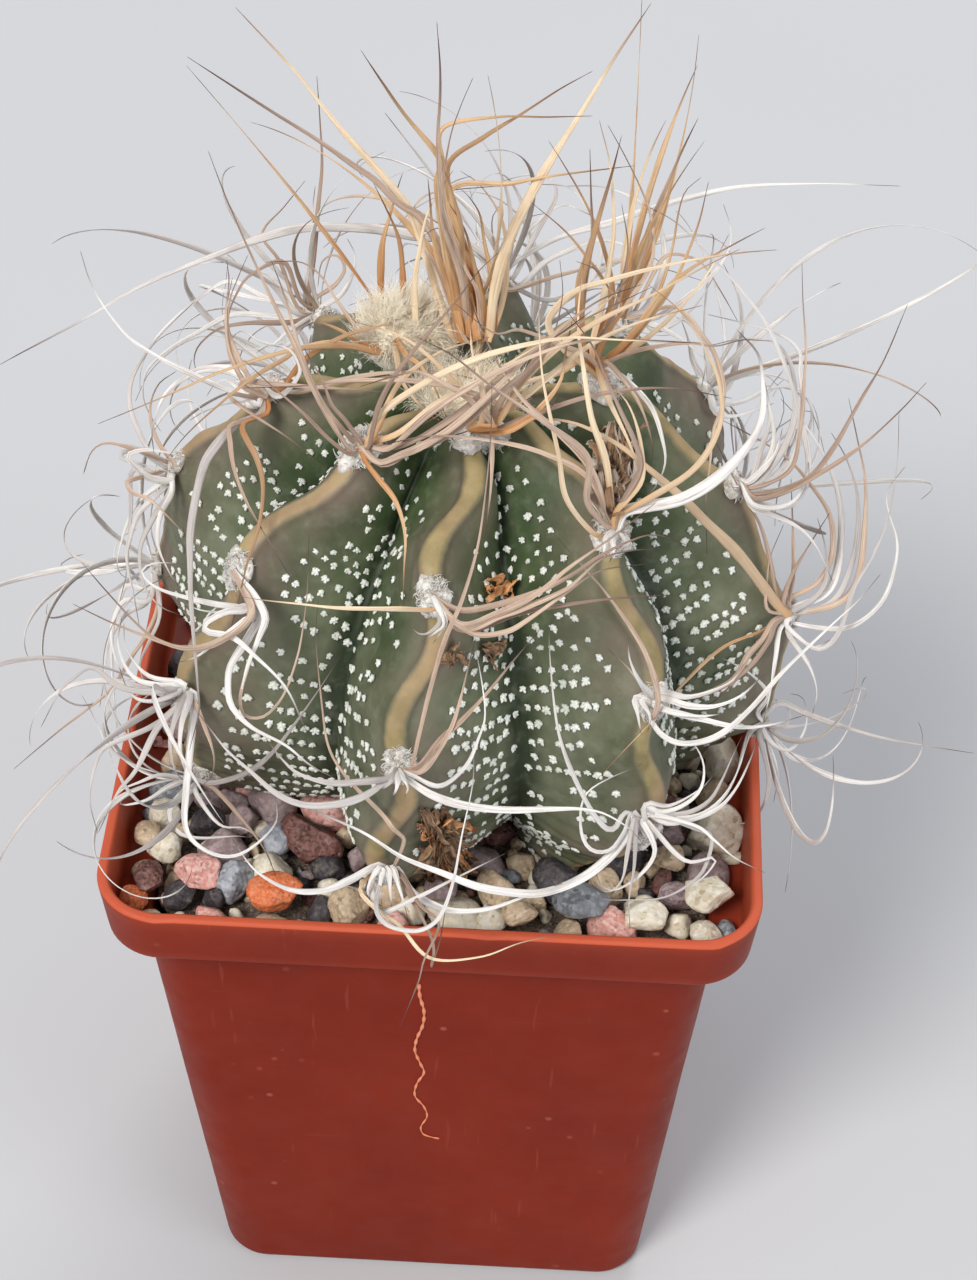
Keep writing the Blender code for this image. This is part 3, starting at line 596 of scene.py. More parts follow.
def ridge_offset(rib, u):
    rib = np.asarray(rib)
    first = np.asarray(FIRST_AREOLE, float)[rib]
    sign = np.asarray(SWAY_SIGN, float)[rib]
    phase = 2 * np.pi * (u - first) / AREOLE_SPACING
    fade = np.minimum(1, u / 14.0) * np.clip((PLEN - u) / 22.0, 0, 1)
    sway = RIDGE_SWAY * sign * np.sin(phase) * fade
    drift = (DRIFT_START - DRIFT_SLOPE * u) * np.minimum(1, u / 14.0)
    return sway + drift, 0.6 * np.cos(phase) * fade


def stem_point(rib, m, u):
    """Surface point: rib number, m across the rib (0 crest, -1/+1 valley), u down it."""
    rib, m, u = np.broadcast_arrays(np.asarray(rib), np.asarray(m, float), np.asarray(u, float))
    r, z, nr, nz = profile_at(u)
    grow = np.minimum(1, u / 26.0)
    fade = np.clip((PLEN - u) / 16.0, 0, 1)
    depth = 0.6 + (RIB_DEPTH - 0.6) * grow * (0.25 + 0.75 * fade)
    depth = np.minimum(depth, 0.62 * r)
    half = math.pi / RIBS
    nzu = np.maximum(nz, 0)
    nru = np.where(nz > 0, nr, 1.0)
    gr = np.maximum(r - depth * nru, 0.35 * r)
    gz = z - depth * nzu
    w = RIDGE_THICKNESS / 2 * np.minimum(1, r / 16.0)
    sway, bulge = ridge_offset(rib, u)
    sway = sway * np.minimum(1, r / 20.0)
    k = np.abs(m)
    sgn = np.sign(m)
    k0 = 0.16
    a = np.clip(k / k0, 0, 1) * math.pi / 2
    drop = 0.9 * (1 - np.cos(a))
    ex, ez = r + (bulge - drop) * nru, z + (bulge - drop) * nzu
    ey = sway + sgn * w * np.sin(a)
    t = np.clip((k - k0) / (1 - k0), 0, 1)
    gx, gy = gr * math.cos(half), sgn * gr * math.sin(half)
    x = ex + (gx - ex) * t
    y = ey + (gy - ey) * t
    zz = ez + (gz - ez) * t
    # flanks are slightly full, then turn into the valley
    fx, fy = gy - ey, -(gx - ex)
    fl = np.hypot(fx, fy) + 1e-9
    out = np.where(sgn >= 0, 1.0, -1.0)
    full = 0.9 * np.sin(np.pi * t ** 0.85) * np.minimum(1, r / 20.0) * np.clip(depth / 8, 0, 1)
    x = x + out * fx / fl * full
    y = y + out * fy / fl * full
    ang = np.radians(FIRST_RIB_ANGLE + 360.0 / RIBS * rib)
    px = PLANT_X + x * np.cos(ang) - y * np.sin(ang)
    py = PLANT_Y + lean(zz) + x * np.sin(ang) + y * np.cos(ang)
    return np.stack([px, py, POT_HEIGHT + zz], -1)


def stem_normal(rib, m, u):
    e = 0.35
    du = stem_point(rib, m, np.asarray(u, float) + e) - stem_point(rib, m, np.asarray(u, float) - e)
    dm = stem_point(rib, np.asarray(m, float) + 0.02, u) - stem_point(rib, np.asarray(m, float) - 0.02, u)
    n = np.cross(du, dm)
    n /= np.linalg.norm(n, axis=-1, keepdims=True) + 1e-12
    c = stem_point(rib, m, u) - np.array([PLANT_X, PLANT_Y, POT_HEIGHT + 18.0])
    flip = np.sign(np.sum(n * c, -1, keepdims=True))
    return n * np.where(flip == 0, 1, flip)


def build_stem():
    per = 44
    rows = np.concatenate([np.linspace(0.5, 20, 34), np.linspace(20, PLEN, 190)[1:]])
    mm = np.linspace(-1, 1, per, endpoint=False)
    # finer columns near the crest
    mm = np.sign(mm) * np.abs(mm) ** 1.35
    cols = RIBS * per
    rib = np.repeat(np.arange(RIBS), per)[None, :]
    m = np.tile(mm, RIBS)[None, :]
    u = rows[:, None]
    P = stem_point(rib, m, u)
    N = stem_normal(rib, m, u)
    q = P / 7.0
    amp = smooth(u, 4, 14) * np.ones_like(m)
    d = 0.28 * fbm(q, 5, 3) * amp + 0.10 * fbm(P / 1.9, 9, 2) * amp
    # shallow cross folds low on the ribs, and swellings just under each areole
    first = np.asarray(FIRST_AREOLE, float)[rib]
    ph = (u - first) / AREOLE_SPACING
    near = np.abs(ph - np.round(ph)) * AREOLE_SPACING
    low = smooth(u, 62, 96)
    d = d + 0.22 * np.sin(u * 2.3 + 5 * vnoise(P / 9.0, 4)) * low * (np.abs(m) < 0.9)
    crest = np.clip(1 - np.abs(m) / 0.20, 0, 1)
    d = d + crest * (0.35 * np.exp(-(near / 3.0) ** 2) * amp + 0.2 * vnoise(P / 3.1, 17) * amp)
    P = P + N * d[..., None]
    b = Build()
    age = smooth(u, 18, 60) * np.ones_like(m)
    ridge = 1 - np.abs(m) * np.ones_like(u)
    # painted shade in the valleys between the ribs, more at the sunken crown centre
    valley_shade = smooth(np.abs(m), 0.70, 1.0) * np.ones_like(u)
    valley_shade = np.clip(valley_shade + 0.35 * (1 - smooth(u, 0, 16)), 0, 1)
    data = np.stack([ridge, valley_shade, age, crest * np.ones_like(u)], -1).reshape(-1, 4)
    b.add(P.reshape(-1, 3), grid_faces(len(rows), cols)[:, ::-1], None, 0, data)
    # crown centre and the buried neck
    top = P[0].mean(0)
    b.add([top], None, None, 0, [[0.3, 1, 0, 0]])
    n = b.n - 1
    j = np.arange(cols)
    b.t.append(np.stack([np.full(cols, n), j, (j + 1) % cols], 1))
    b.tm.append(np.zeros(cols, np.int32))
    last = (len(rows) - 1) * cols
    neck = [((12.0, -17.0)), ((7.0, -22.0)), ((4.5, -30.0)), ((0.8, -37.5))]
    base = b.n
    ly = float(lean(-14.2))
    ring = []
    ang0 = math.radians(FIRST_RIB_ANGLE)
    for r, z in neck:
        a = ang0 + 2 * np.pi * (np.arange(cols) - per / 2) / cols
        ring.append(np.stack([PLANT_X + r * np.cos(a), PLANT_Y + ly + r * np.sin(a),
                              np.full(cols, POT_HEIGHT + z)], 1))
    ring = np.vstack(ring)
    b.add(ring, grid_faces(len(neck), cols)[:, ::-1], None, 0,
          np.tile([[0.3, 0.6, 1, 0]], (len(ring), 1)))
    k = (j + 1) % cols
    b.q.append(np.stack([last + j, base + j, base + k, last + k], 1))
    b.qm.append(np.zeros(cols, np.int32))
    b.add([[PLANT_X, PLANT_Y + ly, POT_HEIGHT - 37.8]], None, None, 0, [[0.3, 0.6, 1, 0]])
    end = base + 3 * cols
    b.t.append(np.stack([np.full(cols, b.n - 1), end + k, end + j], 1))
    b.tm.append(np.zeros(cols, np.int32))
    return b.object("cactus_stem_skin", [MATS["stem"]], slot="stem_skin", replaces=["cactus_stem"])


def build_tufts():
    """Clumps of short white hair, in slanting rows down both flanks of each rib."""
    rng = np.random.default_rng(7)
    spots = []
    for rib in range(RIBS):
        for side in (-1, 1):
            u0 = 5.0
            slant = 5.5 if side < 0 else 4.0
            while u0 < PLEN - 7:
                low = float(smooth(np.array(u0), 34, 52))
                u0 += (2.5 + 0.75 * low) * rng.uniform(0.94, 1.06)
                a = stem_point(rib, side * 0.2, u0)
                c = stem_point(rib, side * 0.97, u0)
                length = max(float(np.linalg.norm(a - c)), 2.0)
                m = 0.30 - 0.05 * low + rng.uniform(0, 0.05)
                bow = rng.uniform(-0.5, 0.9)
                while m < 0.965:
                    step = rng.uniform(1.25, 1.65) if low > 0.5 else rng.uniform(1.3, 2.2)
                    m += step / length * 0.77
                    uu = u0 + slant * (m - 0.2) + bow * math.sin(math.pi * m)
                    uu += rng.normal(0, 0.42 - 0.22 * low)
                    lined = float(smooth(np.array(m), 0.30, 0.72))
                    keep = (0.40 + 0.62 * lined) * (1 - low) + (0.84 + 0.10 * lined) * low
                    patch = vnoise(stem_point(rib, side * m, uu)[None] / 8.0, 31)[0]
                    keep *= 0.78 + 0.40 * patch
                    if 6 < uu < PLEN - 8 and m < 0.965 and rng.random() < keep:
                        spots.append((rib, side * min(m, 0.96), uu, rng.random()))
    spots = np.array(spots)
    rib = spots[:, 0].astype(int)
    P = stem_point(rib, spots[:, 1], spots[:, 2])
    N = stem_normal(rib, spots[:, 1], spots[:, 2])
    down = stem_point(rib, spots[:, 1], spots[:, 2] + 0.5) - P
    down /= np.linalg.norm(down, axis=1)[:, None]
    side = np.cross(N, down)
    groups = [Build() for _ in range(RIBS)]
    ring = np.arange(6) * math.pi / 3
    for i in range(len(P)):
        n, d, s, p = N[i], down[i], side[i], P[i]
        low = float(smooth(spots[i, 2], 34, 60))
        size = rng.uniform(0.58, 0.84) * (0.92 + 0.12 * low)
        lobes = int(rng.integers(4, 7))
        V, T = [], []
        # a felted middle
        for rr, hh in ((0.66, -0.10), (0.44, 0.24)):
            for t in ring:
                wob = size * rr * rng.uniform(0.85, 1.2)
                V.append(p + n * (hh * size + 0.12) + (d * math.cos(t) + s * math.sin(t)) * wob)
        V.append(p + n * (0.30 * size + 0.12))
        for k in range(6):
            q = (k + 1) % 6
            T += [(k, q, 6 + q), (k, 6 + q, 6 + k), (6 + k, 6 + q, 12)]
        T += [(0, k + 1, k) for k in range(1, 5)]
        # pointed locks fanned out down the flank and to its sides
        for k in range(lobes):
            a = (k / (lobes - 1) - 0.5) * rng.uniform(3.2, 4.6) + rng.normal(0, 0.18)
            L = size * rng.uniform(0.72, 1.08) * (1.0 + 0.15 * math.cos(a))
            axis = d * math.cos(a) + s * math.sin(a) + n * rng.uniform(0.02, 0.30)
            axis /= np.linalg.norm(axis)
            across = np.cross(axis, n)
            across /= np.linalg.norm(across) + 1e-9
            lift = np.cross(across, axis)
            o = p + n * 0.12
            base = len(V)
            for t, w in ((0.20, 0.40), (0.66, 0.46)):
                c = o + axis * (L * t)
                W = L * w * 0.72
                V += [c + across * W, c + lift * W * 0.80, c - across * W, c - lift * W * 0.45]
            V.append(o + axis * L)
            for j in range(4):
                a0, a1 = base + j, base + (j + 1) % 4
                T += [(a0, a0 + 4, a1 + 4), (a0, a1 + 4, a1), (a0 + 4, base + 8, a1 + 4)]
            T += [(base, base + 1, base + 2), (base, base + 2, base + 3)]
        data = np.tile([[spots[i, 3] ** 2, 0, 0, 0]], (len(V), 1))
        groups[rib[i]].add(V, None, T, 0, data)
    for k, g in enumerate(groups):
        g.object(f"hair_tufts_{k + 1}", [MATS["tuft"]], slot="wool")
    return len(P)


# ------------------------------------------------------------------ the pot
RIM_WIDTH, RIM_RADIUS, COLLAR_HEIGHT, COLLAR_FOOT_WIDTH = 90.0, 8.9, 9.8, 88.4
BODY_TOP_WIDTH, BASE_WIDTH, BASE_RADIUS, FOOT_BEVEL, WALL = 79.4, 67.4, 7.4, 1.6, 1.3


def rounded_square(width, radius, z, arc=14, flat=26):
    half, out = width / 2, []
    for quarter, (sx, sy) in enumerate(((1, 1), (-1, 1), (-1, -1), (1, -1))):
        cx, cy = sx * (half - radius), sy * (half - radius)
        for i in range(arc):
            a = math.radians(90 * quarter + 90 * i / (arc - 1))
            out.append((cx + radius * math.cos(a), cy + radius * math.sin(a), z))
        a1 = np.array(out[-1])
        nxt = ((-1, 1), (-1, -1), (1, -1), (1, 1))[quarter]
        a = math.radians(90 * quarter + 90)
        b1 = np.array((nxt[0] * (half - radius) + radius * math.cos(a),
                       nxt[1] * (half - radius) + radius * math.sin(a), z))
        for i in range(1, flat):
            out.append(tuple(a1 + (b1 - a1) * i / flat))
    return np.array(out)


def build_pot():
    h, foot = POT_HEIGHT, POT_HEIGHT - COLLAR_HEIGHT
    top_r = RIM_RADIUS - (RIM_WIDTH - BODY_TOP_WIDTH) / 2 + 1.5

    def wall(z, off=0.0):
        t = z / foot
        return (BASE_WIDTH + (BODY_TOP_WIDTH - BASE_WIDTH) * t - 2 * off,
                BASE_RADIUS + (top_r - BASE_RADIUS) * t - off)
    rings, info = [], []

    # each ring carries two weights: painted highlight, then dirt near the foot and painted shade inside the pot
    def ring(width, radius, z, light=0.0, foot_dirt_and_inner_shade=0.0):
        rings.append(rounded_square(width, max(radius, 0.7), z))
        info.append((light, foot_dirt_and_inner_shade))

    def arc(w0, r0, z0, w1, r1, z1, steps, bulge, light=0.0):
        """Rounded step between two outlines."""
        for i in range(1, steps + 1):
            a = math.pi / 2 * i / steps
            if bulge:
                ring(w0 + (w1 - w0) * math.sin(a), r0 + (r1 - r0) * math.sin(a),
                     z0 + (z1 - z0) * (1 - math.cos(a)), light)
            else:
                ring(w0 + (w1 - w0) * (1 - math.cos(a)), r0 + (r1 - r0) * (1 - math.cos(a)),
                     z0 + (z1 - z0) * math.sin(a), light)
    # outside, from the foot up
    ring(BASE_WIDTH - 2 * FOOT_BEVEL, BASE_RADIUS - FOOT_BEVEL, 0, 0, 0.5)
    arc(BASE_WIDTH - 2 * FOOT_BEVEL, BASE_RADIUS - FOOT_BEVEL, 0,
        wall(FOOT_BEVEL)[0], wall(FOOT_BEVEL)[1], FOOT_BEVEL, 6, True)
    for i in range(1, 46):
        z = FOOT_BEVEL + (foot - 0.8 - FOOT_BEVEL) * i / 45
        ring(*wall(z), z, 0.0, max(0.0, 0.35 - z / 60))
    w, r = wall(foot - 0.8)
    arc(w, r, foot - 0.8, w + 1.4, r + 0.6, foot, 4, False)
    ring(COLLAR_FOOT_WIDTH - 2.0, RIM_RADIUS - 1.8, foot, 0.05)
    arc(COLLAR_FOOT_WIDTH - 2.0, RIM_RADIUS - 1.8, foot, COLLAR_FOOT_WIDTH, RIM_RADIUS - 0.8,
        foot + 1.0, 5, True, 0.12)
    for i in range(1, 9):
        t = i / 8
        ring(COLLAR_FOOT_WIDTH + (RIM_WIDTH - COLLAR_FOOT_WIDTH) * t,
             RIM_RADIUS - 0.8 * (1 - t), foot + 1.0 + (COLLAR_HEIGHT - 1.6) * t, 0.04 + 0.20 * t ** 5)
    # the lip and the top of the inner rim get the full painted highlight
    arc(RIM_WIDTH, RIM_RADIUS, h - 0.6, RIM_WIDTH - 1.1, RIM_RADIUS - 0.55, h, 5, False, 1.0)
    ring(RIM_WIDTH - 2 * WALL + 0.5, RIM_RADIUS - WALL + 0.25, h, 1.0)
    arc(RIM_WIDTH - 2 * WALL + 0.5, RIM_RADIUS - WALL + 0.25, h, RIM_WIDTH - 2 * WALL - 0.6,
        RIM_RADIUS - WALL - 0.3, h - 0.8, 5, True, 0.9)
    # down the inside, the painted highlight fades and the painted shade deepens
    for i in range(1, 7):
        t = i / 6
        ring(RIM_WIDTH - 2 * WALL - 0.6 + (COLLAR_FOOT_WIDTH - 0.4 - RIM_WIDTH + 0.6) * t,
             RIM_RADIUS - WALL - 0.3 - 0.7 * t, h - 0.8 + (foot + WALL + 0.4 - h + 0.8) * t,
             0.85 - 0.5 * t, 0.1 + 0.5 * t)
    ring(COLLAR_FOOT_WIDTH - 2 * WALL - 1.2, RIM_RADIUS - 1.0 - WALL, foot + WALL, 0.2, 0.7)
    w, r = wall(foot, WALL)
    ring(w + 0.8, r + 0.4, foot + WALL, 0.1, 0.8)
    ring(w, r, foot + WALL - 0.5, 0.1, 0.8)
    for i in range(1, 6):
        z = foot - (foot - WALL - 1.5) * i / 5
        ring(*wall(z, WALL), z, 0, 0.6)
    w, r = wall(WALL, WALL)
    ring(w - 2.4, r - 1.2, WALL, 0, 0.6)
    n = len(rings[0])
    P = np.array(rings)
    # moulded plastic is never quite flat: shallow sag of the long walls, and a slightly
    # uneven lip with two nicks
    mid = np.stack([P[..., 0], P[..., 1], P[..., 2]], -1)
    bend = 0.25 * fbm(mid / 34.0, 3, 2)
    direction = P[..., :2] / (np.linalg.norm(P[..., :2], axis=-1, keepdims=True) + 1e-9)
    z = P[..., 2]
    away = smooth(z, 2, 12) * (1 - smooth(z, 84, 92))
    P[..., 0] += direction[..., 0] * bend * away
    P[..., 1] += direction[..., 1] * bend * away
    lip = smooth(z, 98.9, 99.9)
    P[..., 2] -= lip * (0.10 + 0.10 * vnoise(mid / 6.0, 8)) * 1.0
    for x0, y0, size in ((-36.0, -45.0, 1.5), (39.0, -44.6, 1.1), (-45.0, 12.0, 1.0), (8.5, -45.0, 0.8)):
        d = np.hypot(P[..., 0] - x0, P[..., 1] - y0)
        P[..., 2] -= lip * 0.45 * np.exp(-(d / size) ** 2)
    b = Build()
    data = np.zeros((len(rings), n, 4))
    data[..., 0] = np.array([i[0] for i in info])[:, None]
    data[..., 1] = np.array([i[1] for i in info])[:, None]
    b.add(P.reshape(-1, 3), grid_faces(len(rings), n), None, 0, data.reshape(-1, 4))
    # the two faces of the base, each an annular fan around four drain holes
    obj = close_base(b, n, len(rings))
    return obj


def close_base(b, n, rows):
    """Base plate with four drain holes, joined ring to ring."""
    holes = [(17.0 * sx, 17.0 * sy) for sx, sy in ((1, 1), (-1, 1), (-1, -1), (1, -1))]
    seg = 28
    import bmesh
    obj = b.object("pot_body", [MATS["pot"]], slot="pot_plastic", replaces=["pot"])
    mesh = obj.data
    bm = bmesh.new()
    bm.from_mesh(mesh)
    bm.verts.ensure_lookup_table()
    layer = bm.verts.layers.float_color["data"]
    made = {}
    ends = {"low": [bm.verts[i] for i in range(n)],
            "high": [bm.verts[(rows - 1) * n + i] for i in range(n)]}
    for level, z in (("low", 0.0), ("high", WALL)):
        edge_ring = ends[level]
        edges = []
        for i in range(n):
            e = bm.edges.get((edge_ring[i], edge_ring[(i + 1) % n]))
            edges.append(e)
        for k, (hx, hy) in enumerate(holes):
            vs = [bm.verts.new(((hx + 4 * math.cos(2 * math.pi * i / seg)) * MM,
                                (hy + 4 * math.sin(2 * math.pi * i / seg)) * MM, z * MM))
                  for i in range(seg)]
            for v in vs:
                v[layer] = (0, 0.5, 0, 0)
            made[level, k] = vs
            for i in range(seg):
                edges.append(bm.edges.new((vs[i], vs[(i + 1) % seg])))
        bmesh.ops.triangle_fill(bm, edges=edges, use_beauty=True, use_dissolve=False)
    for k in range(4):
        lo, hi = made["low", k], made["high", k]
        for i in range(seg):
            j = (i + 1) % seg
            bm.faces.new((lo[i], lo[j], hi[j], hi[i]))
    bmesh.ops.recalc_face_normals(bm, faces=bm.faces)
    for f in bm.faces:
        f.smooth = True
    bm.to_mesh(mesh)
    bm.free()
    mesh.set_sharp_from_angle(angle=math.radians(50))
    return obj


# ------------------------------------------------------------------- stage


def make_stage():
    mesh = bpy.data.meshes.new("floor")
    s = 14.0
    mesh.from_pydata([(-s, -s, 0), (s, -s, 0), (s, s, 0), (-s, s, 0)], [], [(0, 1, 2, 3)])
    n = Nodes("floor_paint")
    p = n.where()
    n.finish(n.mix(n.noise(p, 3.0, 3.0), srgb(176, 177, 180), srgb(186, 187, 189)), 0.85,
             Specular_IOR_Level=0.1)
    mesh.materials.append(n.m)
    obj = bpy.data.objects.new("floor", mesh)
    bpy.context.scene.collection.objects.link(obj)
    bpy.context.scene.view_settings.view_transform = "Standard"
    world = bpy.data.worlds.new("studio")
    bpy.context.scene.world = world
    world.use_nodes = True
    bg = world.node_tree.nodes["Background"]
    bg.inputs[0].default_value = (0.93, 0.95, 1.0, 1)
    bg.inputs[1].default_value = 0.55

    def area(name, pos, target, size, power, colour=(1, 1, 1)):
        light = bpy.data.lights.new(name, "AREA")
        light.shape = "DISK"
        light.size = size
        light.energy = power
        light.color = colour
        o = bpy.data.objects.new(name, light)
        o.location = pos
        d = Vector(target) - Vector(pos)
        o.rotation_euler = d.to_track_quat("-Z", "Y").to_euler()
        bpy.context.scene.collection.objects.link(o)
    # far enough out that the floor behind them stays even
    area("key", (-0.875, -1.375, 1.96), (0, 0, 0.11), 0.875, 54.0, (1.0, 0.97, 0.93))
    area("fill", (1.875, -1.125, 0.975), (0, 0, 0.10), 1.5, 16.5, (0.93, 0.96, 1.0))
    area("back", (0.375, 1.875, 1.57), (0, 0, 0.12), 1.25, 28.0)



# ------------------------------------------------------------------ spines


def tree_of(obj):
    m = obj.data
    v = np.empty(len(m.vertices) * 3, np.float32)
    m.vertices.foreach_get("co", v)
    v = v.reshape(-1, 3) / MM
    return BVHTree.FromPolygons([tuple(c) for c in v.astype(float)],
                                [tuple(p.vertices) for p in m.polygons])


def spine_width(t, kind):
    body = 0.66 + 0.34 * np.sin(np.pi * np.clip(t / 0.78, 0, 1))
    root = 1.0 + 0.22 * np.exp(-(t / 0.03) ** 2)
    tip = np.clip(1 - t, 0, 1) ** (0.62 if kind != "thin" else 0.8)
    return body * root * np.clip(tip * 1.22, 0, 1)


def add_spine(b, path, width, mat, seed, face=None, turn=0.0, flat=0.36, segments=None, tip=None):
    """A flattened, twisted, tapering spine. `face` is the way its broad side looks."""
    length = np.sum(np.linalg.norm(np.diff(np.asarray(path), axis=0), axis=1))
    n = segments or int(np.clip(length / 0.85, 22, 64))
    p, length = curve(path, n)
    t, side, up = frames_along(p, [0.31, 0.52, 0.79])
    s = np.linspace(0, 1, n)
    if face is not None:
        f = np.asarray(face, float)
        side = np.cross(np.broadcast_to(f, t.shape), t)
        norm = np.linalg.norm(side, axis=1, keepdims=True)
        good = norm[:, 0] > 0.15
        if good.sum() < 3:
            side = np.cross(np.broadcast_to(np.array([0.2, 0.3, 1.0]), t.shape), t)
            norm = np.linalg.norm(side, axis=1, keepdims=True)
            good = norm[:, 0] > 0.05
        for k in range(3):
            side[:, k] = np.interp(s, s[good], side[good, k] / norm[good, 0])
        side -= t * np.sum(side * t, 1, keepdims=True)
        side /= np.linalg.norm(side, axis=1, keepdims=True) + 1e-9
        up = np.cross(t, side)
    rs = np.random.default_rng(seed)
    wob = turn * (s - 0.2) + 0.35 * np.sin(s * rs.uniform(4, 9) + rs.uniform(0, 6))
    c, sn = np.cos(wob)[:, None], np.sin(wob)[:, None]
    side, up = side * c + up * sn, up * c - side * sn
    w = spine_width(s, "") * width / 2
    w = w * (1 + 0.07 * np.sin(s * rs.uniform(14, 30) + rs.uniform(0, 6)))
    w = np.maximum(w, 0.035)
    thick = w * (flat + 0.35 * smooth(s, 0.75, 1.0))
    k = 10
    a = 2 * np.pi * np.arange(k) / k
    ca, sa = np.cos(a), np.sin(a)
    groove = 1 - 0.16 * np.abs(sa) ** 3 * 1.0       # a shallow channel along both faces
    V = (p[:, None, :] + side[:, None, :] * (w[:, None] * ca)[..., None]
         + up[:, None, :] * (thick[:, None] * sa * groove)[..., None])
    data = np.zeros((n, k, 4))
    data[..., 0] = (ca * 0.5 + 0.5)
    data[..., 1] = (s * length / 10.0)[:, None]
    tone = rs.random()
    data[..., 2] = tone
    tip_at = (0.84, 0.66, 0.72, 0.82)[mat % 4] + rs.uniform(-0.06, 0.05) if tip is None else tip
    data[..., 3] = np.clip((s - tip_at) / (1 - tip_at + 1e-6), 0, 1)[:, None] if tip_at < 1 else 0
    base = 0
    quads = grid_faces(n, k)
    V = V.reshape(-1, 3)
    data = data.reshape(-1, 4)
    V = np.vstack([V, p[0] - t[0] * 0.2, p[-1] + t[-1] * 0.4])
    data = np.vstack([data, data[0], data[-1]])
    j = np.arange(k)
    tris = np.vstack([np.stack([np.full(k, n * k), (j + 1) % k, j], 1),
                      np.stack([np.full(k, n * k + 1), (n - 1) * k + j, (n - 1) * k + (j + 1) % k], 1)])
    b.add(V, quads, tris, mat, data)


def areole(rib, number):
    """Where areole `number` of rib `rib` sits: point, outward, down the rib, across."""
    u = FIRST_AREOLE[rib - 1] + AREOLE_SPACING * (number - 1)
    p = stem_point(rib - 1, 0.0, u)
    n = stem_normal(rib - 1, np.array([-0.12, 0.12]), u).mean(0)
    n /= np.linalg.norm(n)
    d = stem_point(rib - 1, 0.0, u + 1.0) - stem_point(rib - 1, 0.0, u - 1.0)
    d -= n * (d @ n)
    d /= np.linalg.norm(d)
    return p, n, d, np.cross(n, d), u


KIND = {"w": 0, "p": 1, "g": 2, "c": 3}
SPINE_MATS = ["white", "pink", "gold", "cream"]

